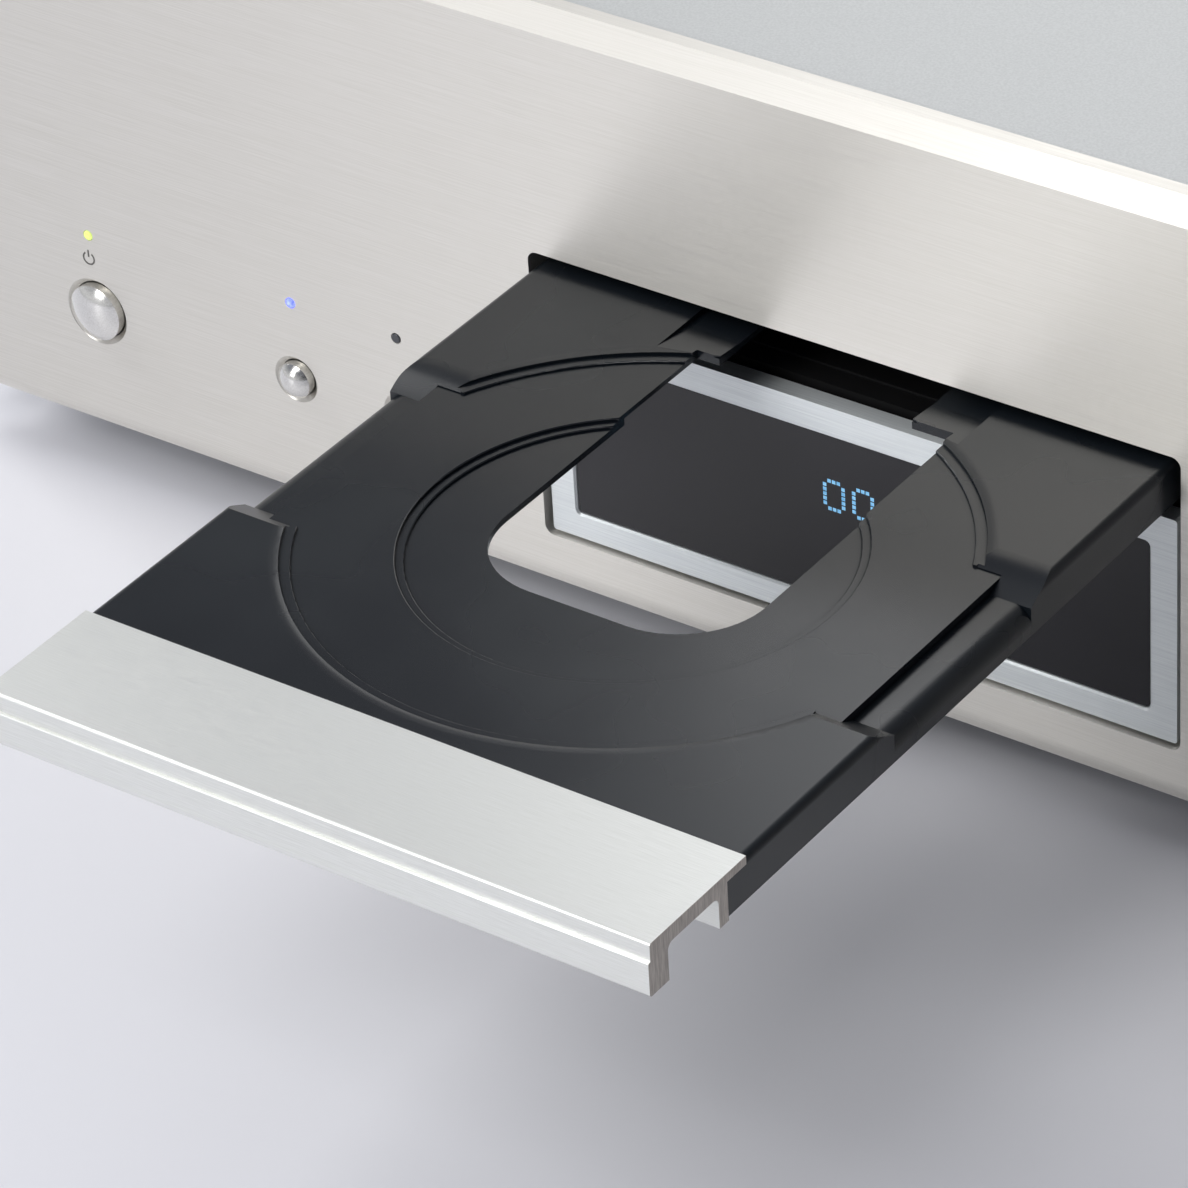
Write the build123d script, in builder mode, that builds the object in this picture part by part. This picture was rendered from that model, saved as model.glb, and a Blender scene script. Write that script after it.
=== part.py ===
from build123d import *
import math
import os

# Disc player with its tray open. Millimetres, +Z up, the front faces -Y.
# The origin is the middle of the footprint, on the surface that the feet stand on.

os.makedirs("parts", exist_ok=True)

# Case
panel_width = 434.0
panel_height = 123.5
panel_thick = 7.0
panel_bevel = 3.95
panel_round = 6.0
panel_drop = 3.0
foot_height = 13.5
case_depth = 325.0
cover_sheet = 1.2
pan_sheet = 1.5
cover_inset = 2.2
cover_drop = 0.6
seam = 0.3
flange_height = 16.0
subframe_back = 10.0
board_back = 17.0
board_thick = 1.6

# Feet
foot_radius = 21.0
foot_inset = 57.0
foot_setback = 45.0
pad_radius = 16.0
pad_thick = 2.0
pad_proud = 1.0

# Screws
screw_radius = 1.5
screw_head_radius = 3.2
screw_head = 1.8
screw_play = 0.1

# Disc seat and opening in the panel, measured from the disc's middle on the seat floor
seat_above_case = 69.5
disc_ahead = 66.7
aperture_side = 2.1
aperture_above = 3.2
aperture_below = 59.2
aperture_corner = 2.0

# Display
bezel_gap = 1.3
bezel_foot_gap = 0.8
bezel_below_seat = 10.6
bezel_side = 5.7
bezel_low = 5.3
bezel_high = 6.4
bezel_thick = 4.0
bezel_recess = 1.0
window_recess = 0.6
window_thick = 2.8
window_gap = 0.2
display_inset = 6.6
display_height = 26.0

# Buttons and lamps
big_button = 12.0
small_button = 7.5
button_play = 0.2
button_proud = 2.6
button_dome = 1.8
button_travel = 1.0
button_ring = 1.1
lamp_radius = 1.0
lamp_play = 0.15
stem_radius = 1.5
key_depth = 3.6

# Tray
tray_width = 135.0
tray_front = 65.7
tray_rear = 125.0
plateau = 1.2
plateau_round = 1.5
tray_under = 1.0
tray_wall = 1.3
gear_below = 4.0
tray_skirt = 7.2
skirt_wall = 2.0
disc_recess = 61.0
recess_roll = 1.9
roll_low = 1.0
step_round = 0.2
disc_seat = 58.9
ledge_height = 0.45
small_recess = 41.0
small_seat = 39.4
small_ledge = 0.6
small_depth = 1.1
hole_left = 25.3
hole_right = 29.2
hole_front = 19.2
hole_rear = 57.0
hole_corner = 17.0
tail_gap = 41.0
tail_step = 32.0
tail_drop = 1.0
tail_slope_front = 54.0
tail_slope_rear = 64.0
notch_front = 27.7
notch_slope = 2.4
notch_floor_rear = 24.5
notch_ramp_front = 20.8
notch_ramp_rear = 30.0
notch_chord = 59.4
notch_ledge = 1.7
notch_round = 3.4
ramp_stations = 5

# Tray lip, a metal extrusion
lip_overhang = 0.17
lip_screw_inset = 17.5
lip_reach = 93.5
lip_top = 1.6
lip_plate = 1.7
lip_web = 2.6
lip_web_back = 71.2
lip_web_drop = 7.8
lip_leg = 5.4
lip_leg_drop = 8.6
lip_step = 0.6
lip_step_drop = 1.9
lip_fillet = 1.5

# Loader
base_clear = 2.5
base_wall = 6.0
base_low = 44.0
base_top = 88.3
base_front_gap = 12.4
base_rear = 133.0
guide_play = 0.3
guide_reach = 15.0
deck_top = 73.0
deck_thick = 2.0
bracket_sheet = 1.5
gear_module = 1.0
drive_teeth = 30
pinion_teeth = 12
gear_thick = 2.4
gear_play = 0.1
rack_inset = 17.5
drive_back = 45.5
belt_wheel_radius = 13.0
motor_pulley_radius = 4.0
belt_thick = 1.2
belt_height = 1.6
belt_play = 0.05
shaft_radius = 1.5
shaft_play = 0.05
motor_radius = 12.0
motor_height = 13.0

# Clamp over the turntable
bridge_sheet = 1.2
puck_radius = 16.0
puck_flange = 20.0
puck_gap = 1.4
puck_play = 0.5

# Traverse that carries the turntable and the pickup
disc_lift = 1.5
disc_bore_radius = 7.4
turntable_radius = 13.5
turntable_thick = 3.2
cone_height = 2.0
hub_drop = 7.7
traverse_arm = 99.0
traverse_ahead = 27.0
traverse_half = 56.0
traverse_thick = 4.0
traverse_below = 20.5
trunnion_radius = 3.0
spindle_motor_radius = 12.5
pickup_inner = 24.0
pickup_travel = 34.0
rod_radius = 1.5
rod_spread = 30.0
rod_rise = 8.0
rod_block = 2.6
sled_module = 0.6
sled_pinion_teeth = 14
sled_wheel_teeth = 32
sled_motor_teeth = 10
sled_gear_play = 0.06
cam_travel = 22.0
cam_pin_radius = 2.0
cam_sheet = 3.0

# Electronics
board_rise = 10.0
pillar_radius = 3.0
transformer_x = -150.0
transformer_width = 70.0
transformer_stack = 30.0
transformer_height = 58.0
coil_thick = 10.0
heat_sink_height = 45.0

# Rear sockets
jack_reach = 12.0
jack_radius = 4.15
jack_bore = 1.6
jack_height = 31.5
jack_collar = 7.0
inlet_width = 27.0
inlet_height = 19.8
inlet_depth = 20.0

# Places worked out from the sizes above
front_y = (disc_ahead + lip_reach - case_depth - jack_reach) / 2
rear_y = front_y + case_depth
tray_travel = disc_ahead + lip_reach
disc_y = front_y - disc_ahead
play_y = disc_y + tray_travel
pan_top = foot_height + pan_sheet
seat_z = foot_height + seat_above_case
panel_top = foot_height + panel_height
panel_low = foot_height - panel_drop
cover_top = panel_top - cover_drop
cover_half = panel_width / 2 - cover_inset
inner_half = cover_half - cover_sheet - seam
panel_back = front_y + panel_thick
board_y = front_y + board_back
board_z = pan_top + board_rise
tray_half = tray_width / 2
aperture_half = tray_half + aperture_side
aperture_low = seat_z - aperture_below
aperture_high = seat_z + aperture_above
bezel_half = aperture_half - bezel_gap
bezel_bottom = aperture_low + bezel_foot_gap
bezel_top = seat_z - bezel_below_seat
window_half = bezel_half - bezel_side
display_half = window_half - display_inset
window_bottom = bezel_bottom + bezel_low
window_top = bezel_top - bezel_high
window_mid = (window_bottom + window_top) / 2
screw_hole = screw_radius + screw_play
through = 400.0


def slab(x, y, z, mode=Mode.ADD):
    """Box between three pairs of limits."""
    spans = (x, y, z)
    with Locations(tuple((low + high) / 2 for low, high in spans)):
        Box(*(high - low for low, high in spans), mode=mode)


def rod(x, y, z, radius, mode=Mode.ADD):
    """Round bar along the one coordinate that is given as a pair of limits."""
    spans = [value if isinstance(value, tuple) else (value, value) for value in (x, y, z)]
    lengths = [high - low for low, high in spans]
    along = lengths.index(max(lengths))
    turn = ((0, 90, 0), (90, 0, 0), (0, 0, 0))[along]
    with Locations(tuple((low + high) / 2 for low, high in spans)):
        Cylinder(radius, lengths[along], rotation=turn, mode=mode)


def facing_front(y):
    """Plane across the object at depth y, whose sketch runs along X and Z."""
    return Plane.XZ.offset(-y)


def framed(half_width, low, high):
    """Rectangle in a plane that faces the front."""
    with Locations((0, (low + high) / 2)):
        Rectangle(2 * half_width, high - low)


def gear_outline(teeth, module, play, turn=0.0):
    """Involute gear outline, with a tooth on the X axis before it is turned by degrees."""
    pitch = teeth * module / 2
    base = pitch * math.cos(math.radians(20))
    tip = pitch + 0.9 * module
    root = pitch - 1.25 * module

    def half_angle(radius):
        pressure = math.acos(base / radius)
        lift = math.tan(math.radians(20)) - math.radians(20)
        return math.pi / 2 / teeth - play / pitch + lift - (math.tan(pressure) - pressure)

    start = max(base, root) * 1.0001
    radii = [start + (tip - start) * step / 4 for step in range(5)]
    flank = [(root, half_angle(start))] + [(radius, half_angle(radius)) for radius in radii]
    points = []
    for tooth in range(teeth):
        middle = math.radians(turn) + 2 * math.pi * tooth / teeth
        for radius, half in flank:
            points.append((radius * math.cos(middle - half), radius * math.sin(middle - half)))
        for radius, half in reversed(flank):
            points.append((radius * math.cos(middle + half), radius * math.sin(middle + half)))
    with BuildLine() as outline:
        Polyline(*points, close=True)
    make_face(outline.line)


def rack_outline(pitch_x, body_x, gap_y, low_y, high_y, module, play):
    """Rack outline with a tooth gap at gap_y. The teeth point from body_x towards pitch_x."""
    side = math.copysign(1.0, pitch_x - body_x)
    slope = math.tan(math.radians(20))
    pitch = math.pi * module
    tip = pitch_x + side * 0.9 * module
    root = pitch_x - side * 1.25 * module
    half_tip = pitch / 4 - play - 0.9 * module * slope
    half_root = pitch / 4 - play + 1.25 * module * slope
    first = math.ceil((low_y + pitch / 2 - gap_y) / pitch - 0.5)
    last = math.floor((high_y - pitch / 2 - gap_y) / pitch - 0.5)
    points = [(body_x, low_y), (root, low_y)]
    for tooth in range(first, last + 1):
        middle = gap_y + (tooth + 0.5) * pitch
        points += [(root, middle - half_root), (tip, middle - half_tip)]
        points += [(tip, middle + half_tip), (root, middle + half_root)]
    points += [(root, high_y), (body_x, high_y)]
    with BuildLine() as outline:
        Polyline(*points, close=True)
    make_face(outline.line)


# Buttons and lamps: name, X and Z of the middle, diameter
low_row = seat_z - 43.5
high_row = seat_z - 12.0
lamp_row = seat_z - 26.2
buttons = {
    "power_button": (-176.8, low_row, big_button),
    "layer_button": (-127.6, low_row, small_button),
    "direct_button": (-101.4, low_row, small_button),
    "open_button": (110.0, high_row, small_button),
    "play_button": (140.0, high_row, big_button),
    "pause_button": (170.0, high_row, small_button),
    "stop_button": (110.0, low_row, small_button),
    "skip_back_button": (140.0, low_row, small_button),
    "skip_forward_button": (170.0, low_row, small_button),
}
lamps = {"power_lamp": -177.1, "layer_lamp": -127.4, "direct_lamp": -102.2}

# Front panel: a thick extrusion with a bevelled top and a rolled bottom edge
with BuildPart() as front_panel:
    with BuildSketch(Plane.YZ.offset(-panel_width / 2)):
        with BuildLine():
            Polyline(
                (front_y, panel_low),
                (front_y, panel_top - panel_bevel),
                (front_y + panel_bevel, panel_top),
                (panel_back, panel_top),
                (panel_back, panel_low),
                close=True,
            )
        make_face()
        fillet(vertices().group_by(Axis.Y)[0].sort_by(Axis.X)[0], panel_round)
    extrude(amount=panel_width)
    with BuildSketch(facing_front(front_y)):
        framed(aperture_half, aperture_low, aperture_high)
        fillet(vertices(), aperture_corner)
    extrude(amount=-panel_thick, mode=Mode.SUBTRACT)
    for x, z, diameter in buttons.values():
        rod(x, (front_y, panel_back), z, diameter / 2 + button_play, Mode.SUBTRACT)
    rims = edges().filter_by_position(Axis.Y, front_y - 0.01, front_y + 0.01).filter_by(GeomType.CIRCLE)
    chamfer(rims.filter_by(lambda rim: rim.radius > small_button / 2), button_ring)
    for x in lamps.values():
        rod(x, (front_y, panel_back), lamp_row, lamp_radius + lamp_play, Mode.SUBTRACT)
front_panel.part.label = "front_panel"

# Display bezel: a brushed frame that stands in the lower part of the opening
bezel_y = front_y + bezel_recess
bezel_back = bezel_y + bezel_thick
with BuildPart() as display_bezel:
    with BuildSketch(facing_front(bezel_y)):
        framed(bezel_half, bezel_bottom, bezel_top)
        fillet(vertices(), 0.6)
        with BuildSketch(facing_front(bezel_y), mode=Mode.SUBTRACT):
            framed(window_half, window_bottom, window_top)
            fillet(vertices(), 1.2)
    extrude(amount=-bezel_thick)
    chamfer(faces().sort_by(Axis.Y)[0].inner_wires()[0].edges(), 0.4)
display_bezel.part.label = "display_bezel"

# Display window: smoked acrylic inside the bezel
window_y = bezel_y + window_recess
with BuildPart() as display_window:
    with BuildSketch(facing_front(window_y)):
        framed(window_half - window_gap, window_bottom + window_gap, window_top - window_gap)
        fillet(vertices(), 1.0)
    extrude(amount=-window_thick)
display_window.part.label = "display_window"

# Display holder: a moulded plate behind the panel, with a raised pad that carries the bezel
holder_y = panel_back + seam
holder_back = holder_y + 2.0
holder_half = aperture_half + 4.0
with BuildPart() as display_holder:
    slab((-holder_half, holder_half), (holder_y, holder_back), (aperture_low - 4, bezel_top - 2))
    slab((1 - bezel_half, bezel_half - 1), (bezel_back, holder_y), (bezel_bottom + 1, bezel_top - 2))
    with Locations((0, holder_back - 1, window_mid)):
        Box(2 * display_half + 1, through, display_height + 1, mode=Mode.SUBTRACT)
display_holder.part.label = "display_holder"

# Display module: a glass cell behind the window, with its own board
with BuildPart() as display_module:
    slab(
        (-display_half, display_half),
        (window_y + window_thick + seam, holder_back),
        (window_mid - display_height / 2, window_mid + display_height / 2),
    )
    slab(
        (-display_half - 6, display_half + 6),
        (holder_back + seam, holder_back + seam + board_thick),
        (window_mid - display_height / 2 - 3, window_mid + display_height / 2 + 3),
    )
    slab((-50, 50), (holder_back, holder_back + seam), (window_mid - 8, window_mid + 8))
display_module.part.label = "display_module"

# Slot liner: a black throat behind the upper part of the opening
liner_low = bezel_top + 0.3
liner_back = front_y + 12.0
with BuildPart() as slot_liner:
    with BuildSketch(facing_front(holder_y)):
        framed(aperture_half + 3, liner_low - 2, aperture_high + 3)
        with BuildSketch(facing_front(holder_y), mode=Mode.SUBTRACT):
            framed(aperture_half, liner_low, aperture_high + 0.3)
    extrude(amount=holder_y - liner_back)
slot_liner.part.label = "slot_liner"

# Lamps: clear light pipes that reach back to the control board
lamp_parts = []
for name, x in lamps.items():
    with BuildPart() as lamp:
        rod(x, (front_y - 0.2, board_y), lamp_row, lamp_radius)
        fillet(edges().sort_by(Axis.Y)[0], 0.3)
    lamp.part.label = name
    lamp_parts.append(lamp)

# Front subframe: a steel sheet that carries the panel on round bosses
subframe_y = front_y + subframe_back
subframe_low = pan_top + seam
subframe_high = cover_top - cover_sheet - seam
liner_side = holder_half + seam
flange_low = subframe_high - cover_sheet
boss_x = panel_width / 2 - 17.0
boss_places = [(x, z) for x in (-boss_x, -88, 88, boss_x) for z in (26.0, panel_top - 12)]
with BuildPart() as front_subframe:
    slab((-inner_half, inner_half), (subframe_y, subframe_y + cover_sheet), (subframe_low, subframe_high))
    slab((-inner_half, inner_half), (subframe_y, subframe_y + 12), (flange_low, subframe_high))
    slab(
        (-liner_side, liner_side),
        (subframe_y, subframe_y + cover_sheet),
        (aperture_low - 4 - seam, aperture_high + 3 + seam),
        Mode.SUBTRACT,
    )
    for x, z in boss_places:
        rod(x, (panel_back, subframe_y), z, 4.0)
    for x, z, diameter in buttons.values():
        rod(x, (subframe_y, subframe_y + cover_sheet), z, diameter / 2 + 2.0, Mode.SUBTRACT)
    for x in lamps.values():
        rod(x, (subframe_y, subframe_y + cover_sheet), lamp_row, lamp_radius + 0.6, Mode.SUBTRACT)
front_subframe.part.label = "front_subframe"

# Control boards behind the buttons, with a key switch for each
key_y = board_y - key_depth
with BuildPart() as control_boards:
    for side in (-1, 1):
        x_span = sorted((side * 92.0, side * 192.0))
        slab(tuple(x_span), (board_y, board_y + board_thick), (low_row - 9, high_row + 9))
        for x in x_span:
            rod(
                x - math.copysign(8, x - side * 142),
                (subframe_y + cover_sheet, board_y),
                lamp_row + 10,
                pillar_radius,
            )
    for x, z, diameter in buttons.values():
        slab((x - 3, x + 3), (key_y, board_y), (z - 3, z + 3))
control_boards.part.label = "control_boards"

# Buttons: a domed cap, a flange behind the panel and a stem towards the key switch
button_parts = []
for name, (x, z, diameter) in buttons.items():
    radius = diameter / 2
    tip = front_y - button_proud
    sphere = (radius**2 + button_dome**2) / (2 * button_dome)
    halfway = tip + sphere - math.sqrt(sphere**2 - (radius / 2) ** 2)
    flange_y = panel_back + seam
    with BuildPart() as button:
        with BuildSketch(Plane.XY.offset(z)):
            with BuildLine():
                ThreePointArc((x, tip), (x + radius / 2, halfway), (x + radius, tip + button_dome))
                Polyline(
                    (x + radius, tip + button_dome),
                    (x + radius, flange_y),
                    (x + radius + 1.2, flange_y),
                    (x + radius + 1.2, flange_y + 1),
                    (x + stem_radius, flange_y + 1),
                    (x + stem_radius, key_y - button_travel - 0.2),
                    (x, key_y - button_travel - 0.2),
                    (x, tip),
                )
            make_face()
        revolve(axis=Axis((x, 0, z), (0, 1, 0)))
    button.part.label = name
    button_parts.append(button)

# Feet and the places of the other fasteners
foot_places = [
    (side * (panel_width / 2 - foot_inset), y)
    for side in (-1, 1)
    for y in (front_y + foot_setback, rear_y - foot_setback)
]
side_screw_z = foot_height + flange_height - 6
side_screw_places = [front_y + 40, (front_y + rear_y) / 2, rear_y - 40]
rear_screw_places = [(x, cover_top - 8) for x in (-180, 0, 180)]
rear_low_places = [(x, pan_top + 5) for x in (-150, 40, 150)]

with BuildPart() as feet:
    for x, y in foot_places:
        rod(x, y, (pad_proud, foot_height), foot_radius)
    fillet(edges().group_by(Axis.Z)[0], 2.0)
    for x, y in foot_places:
        rod(x, y, (pad_proud, pad_thick), pad_radius + 0.2, Mode.SUBTRACT)
        rod(x, y, (pad_proud, foot_height), screw_hole, Mode.SUBTRACT)
        rod(x, y, (pad_proud, foot_height - 4), screw_head_radius + 0.3, Mode.SUBTRACT)
feet.part.label = "feet"

with BuildPart() as foot_pads:
    for x, y in foot_places:
        rod(x, y, (0, pad_thick), pad_radius)
foot_pads.part.label = "foot_pads"

# Bottom pan: a steel tray with four flanges and rows of air slots
pan_front = subframe_y + cover_sheet + seam
pan_rear = rear_y - cover_sheet - seam
pan_high = foot_height + flange_height
base_half = tray_half + base_clear + base_wall
bracket_foot_x = base_half + 9.0
bracket_places = [(side * bracket_foot_x, y) for side in (-1, 1) for y in (front_y + 40, front_y + 190)]
with BuildPart() as bottom_pan:
    slab((-inner_half, inner_half), (pan_front, pan_rear), (foot_height, pan_top))
    for side in (-1, 1):
        slab(
            tuple(sorted((side * inner_half, side * (inner_half - pan_sheet)))),
            (pan_front, pan_rear),
            (foot_height, pan_high),
        )
    for y in (pan_front, pan_rear - pan_sheet):
        slab((-inner_half, inner_half), (y, y + pan_sheet), (foot_height, pan_top + 11))
    with BuildSketch(Plane.XY.offset(foot_height)):
        for x in (transformer_x, -transformer_x):
            with Locations((x, rear_y - 112)):
                with GridLocations(8, 50, 9, 2):
                    SlotOverall(36, 3, rotation=90)
    extrude(amount=pan_sheet, mode=Mode.SUBTRACT)
    for x, y in foot_places:
        rod(x, y, (foot_height, pan_top), screw_hole, Mode.SUBTRACT)
    for x, y in bracket_places:
        rod(x, y, (foot_height, pan_top), screw_hole, Mode.SUBTRACT)
    for y in side_screw_places:
        rod((-inner_half, inner_half), y, side_screw_z, screw_hole, Mode.SUBTRACT)
    for x, z in rear_low_places:
        rod(x, (pan_rear - pan_sheet, pan_rear), z, screw_hole, Mode.SUBTRACT)
bottom_pan.part.label = "bottom_pan"

# Rear sockets: analogue outputs, digital outputs, remote sockets and the mains inlet
jack_z = pan_top + jack_height
jack_places = [150.0, 175.0, 50.0]
optical_x = 25.0
remote_places = [-5.0, -20.0]
inlet_x = -165.0
inlet_z = pan_top + 36.0
rear_panel_y = rear_y - cover_sheet

with BuildPart() as rear_panel:
    slab((-inner_half, inner_half), (rear_panel_y, rear_y), (subframe_low, subframe_high))
    for x in jack_places:
        rod(x, (rear_panel_y, rear_y), jack_z, jack_collar + 0.3, Mode.SUBTRACT)
    slab(
        (optical_x - 5.3, optical_x + 5.3),
        (rear_panel_y, rear_y),
        (jack_z - 5.3, jack_z + 5.3),
        Mode.SUBTRACT,
    )
    for x in remote_places:
        rod(x, (rear_panel_y, rear_y), jack_z, 4.3, Mode.SUBTRACT)
    slab(
        (inlet_x - inlet_width / 2, inlet_x + inlet_width / 2),
        (rear_panel_y, rear_y),
        (inlet_z - inlet_height / 2, inlet_z + inlet_height / 2),
        Mode.SUBTRACT,
    )
    for x, z in rear_screw_places + rear_low_places:
        rod(x, (rear_panel_y, rear_y), z, screw_hole, Mode.SUBTRACT)
rear_panel.part.label = "rear_panel"

# Socket contacts: three turned metal jacks and the three blades of the inlet
inlet_back = rear_y + 2.5 - inlet_depth
blade_places = [(-7.0, -3.0), (7.0, -3.0), (0.0, 3.5)]
with BuildPart() as socket_contacts:
    for x in jack_places:
        rod(x, (rear_y + 1.5, rear_y + jack_reach), jack_z, jack_radius)
        rod(x, (rear_y + 1.5, rear_y + 3.0), jack_z, jack_collar - 1)
        rod(x, (rear_y - 8, rear_y + 1.5), jack_z, jack_radius - 0.4)
        rod(x, (rear_y + 2.0, rear_y + jack_reach), jack_z, jack_bore, Mode.SUBTRACT)
    for x, z in blade_places:
        slab(
            (inlet_x + x - 1, inlet_x + x + 1),
            (inlet_back - 6, rear_y - 1.0),
            (inlet_z + z - 2, inlet_z + z + 2),
        )
socket_contacts.part.label = "socket_contacts"

# Socket blocks: plastic bodies behind and around the metal jacks, optical and remote sockets
with BuildPart() as socket_blocks:
    for x in jack_places:
        rod(x, (rear_y - 1.8, rear_y + 1.5), jack_z, jack_collar)
        slab((x - 8, x + 8), (rear_y - 16, rear_panel_y - seam), (board_z + board_thick, jack_z + 8))
        rod(x, (rear_y - 8, rear_y + 1.5), jack_z, jack_radius - 0.3, Mode.SUBTRACT)
    slab((optical_x - 5, optical_x + 5), (rear_y - 14, rear_y + 1.0), (jack_z - 5, jack_z + 5))
    slab(
        (optical_x - 3.2, optical_x + 3.2),
        (rear_y - 9, rear_y + 1.0),
        (jack_z - 3.2, jack_z + 3.2),
        Mode.SUBTRACT,
    )
    slab((optical_x - 5, optical_x + 5), (rear_y - 14, rear_panel_y - 1), (board_z + board_thick, jack_z - 5))
    for x in remote_places:
        rod(x, (rear_y - 3, rear_y + 1.2), jack_z, 4.0)
        slab((x - 5, x + 5), (rear_y - 15, rear_panel_y - seam), (board_z + board_thick, jack_z + 5))
        rod(x, (rear_y - 13, rear_y + 1.2), jack_z, 1.8, Mode.SUBTRACT)
socket_blocks.part.label = "socket_blocks"

with BuildPart() as mains_inlet:
    slab(
        (inlet_x - inlet_width / 2 + 0.3, inlet_x + inlet_width / 2 - 0.3),
        (inlet_back, rear_y + 2.5),
        (inlet_z - inlet_height / 2 + 0.3, inlet_z + inlet_height / 2 - 0.3),
    )
    slab(
        (inlet_x - inlet_width / 2 - 2, inlet_x + inlet_width / 2 + 2),
        (rear_y, rear_y + 2.5),
        (inlet_z - inlet_height / 2 - 2, inlet_z + inlet_height / 2 + 2),
    )
    slab(
        (inlet_x - inlet_width / 2 + 1.6, inlet_x + inlet_width / 2 - 1.6),
        (inlet_back + 3, rear_y + 2.5),
        (inlet_z - inlet_height / 2 + 1.6, inlet_z + inlet_height / 2 - 1.6),
        Mode.SUBTRACT,
    )
    for x, z in blade_places:
        slab(
            (inlet_x + x - 1, inlet_x + x + 1),
            (inlet_back, inlet_back + 3),
            (inlet_z + z - 2, inlet_z + z + 2),
            Mode.SUBTRACT,
        )
mains_inlet.part.label = "mains_inlet"

# Top cover: a folded sheet with air slots, open below and at the front
cover_front = panel_back + seam
cover_back = rear_y + seam + cover_sheet
cover_low = foot_height + 0.7
with BuildPart() as top_cover:
    with BuildSketch(facing_front(cover_front)):
        framed(cover_half, cover_low, cover_top)
        fillet(vertices().group_by(Axis.Y)[-1], 2.0)
        with BuildSketch(facing_front(cover_front), mode=Mode.SUBTRACT):
            framed(cover_half - cover_sheet, cover_low - 1, cover_top - cover_sheet)
            fillet(vertices().group_by(Axis.Y)[-1], 0.8)
    extrude(amount=cover_front - cover_back)
    slab(
        (cover_sheet - cover_half, cover_half - cover_sheet),
        (rear_y + seam, cover_back),
        (cover_top - 14, cover_top - cover_sheet),
    )
    with BuildSketch(Plane.XY.offset(cover_top)):
        for x in (transformer_x, -transformer_x):
            with Locations((x, rear_y - 112)):
                with GridLocations(8, 50, 9, 2):
                    SlotOverall(36, 3, rotation=90)
    extrude(amount=-cover_sheet, mode=Mode.SUBTRACT)
    for y in side_screw_places:
        rod((-cover_half, cover_half), y, side_screw_z, screw_hole, Mode.SUBTRACT)
    for x, z in rear_screw_places:
        rod(x, (rear_y + seam, cover_back), z, screw_hole, Mode.SUBTRACT)
top_cover.part.label = "top_cover"

# Case screws: cover, rear panel, feet and mechanism brackets
with BuildPart() as case_screws:
    for side in (-1, 1):
        for y in side_screw_places:
            head = sorted((side * cover_half, side * (cover_half + screw_head)))
            shank = sorted((side * (cover_half - 6), side * cover_half))
            rod(tuple(head), y, side_screw_z, screw_head_radius)
            rod(tuple(shank), y, side_screw_z, screw_radius)
    for x, z in rear_screw_places:
        rod(x, (cover_back, cover_back + screw_head), z, screw_head_radius)
        rod(x, (cover_back - 6, cover_back), z, screw_radius)
    for x, z in rear_low_places:
        rod(x, (rear_y, rear_y + screw_head), z, screw_head_radius)
        rod(x, (rear_y - 6, rear_y), z, screw_radius)
    for x, y in foot_places:
        rod(x, y, (foot_height - 4 - screw_head, foot_height - 4), screw_head_radius)
        rod(x, y, (foot_height - 4, pan_top + 3), screw_radius)
    for x, y in bracket_places:
        rod(x, y, (pan_top + bracket_sheet, pan_top + bracket_sheet + screw_head), screw_head_radius)
        rod(x, y, (foot_height - 2, pan_top + bracket_sheet), screw_radius)
case_screws.part.label = "case_screws"

# Disc tray at rest, pulled out as far as it goes
skirt_inner = tray_half - skirt_wall
rack_pitch_x = tray_half - rack_inset
lip_screw_x = tray_half - lip_screw_inset
tongue_front_y = disc_y - lip_web_back + 0.2
tongue_top = seat_z + lip_top - lip_plate - 0.2
tray_front_y = disc_y - tray_front
tray_rear_y = disc_y + tray_rear
tray_plane = Plane(origin=(0, disc_y, seat_z), x_dir=(1, 0, 0), z_dir=(0, -1, 0))
drive_y = front_y + drive_back
drive_pitch = gear_module * drive_teeth / 2
pinion_pitch = gear_module * pinion_teeth / 2
under_z = seat_z - tray_under
gear_top = seat_z - gear_below
gear_low = gear_top - gear_thick
ramp_run = notch_ramp_rear - notch_ramp_front
ramp_rise = plateau + notch_ledge
ramp_radius = (ramp_run**2 + ramp_rise**2) / (2 * ramp_rise)


def ramp_z(y):
    """Height of the notch's rear ramp at y, both from the disc's middle on the seat floor."""
    return plateau - ramp_radius + math.sqrt(ramp_radius**2 - (notch_ramp_rear - y) ** 2)


def rounding(side, level, radius):
    """Outline of what a rounded edge takes off one side of the tray, with its top at level."""
    edge = side * tray_half
    inset = side * (tray_half - radius)
    diagonal = radius * (1 - math.sqrt(0.5))
    with BuildLine() as outline:
        Polyline(
            (edge, level - radius),
            (edge + side, level - radius),
            (edge + side, level + 0.4),
            (inset, level + 0.4),
            (inset, level),
        )
        ThreePointArc((inset, level), (edge - side * diagonal, level - diagonal), (edge, level - radius))
    make_face(outline.edges())


def notch_cut(x_near, x_far, floor, start, end):
    """Cut one finger notch band between two X values, down to floor, with a ramp at its rear."""
    middle = (end + notch_ramp_rear) / 2
    foot = notch_front - notch_slope * (plateau - floor) / plateau
    with BuildSketch(Plane(origin=(x_near, disc_y, seat_z), x_dir=(0, 1, 0), z_dir=(1, 0, 0))) as band:
        with BuildLine():
            Polyline(
                (notch_ramp_rear, plateau),
                (notch_ramp_rear, plateau + 2),
                (-start, plateau + 2),
                (-start, plateau),
                (-foot, floor),
                (end, floor),
                (end, ramp_z(end)),
            )
            ThreePointArc((end, ramp_z(end)), (middle, ramp_z(middle)), (notch_ramp_rear, plateau))
        make_face()
    extrude(band.sketch, amount=x_far - x_near, mode=Mode.SUBTRACT)


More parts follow.
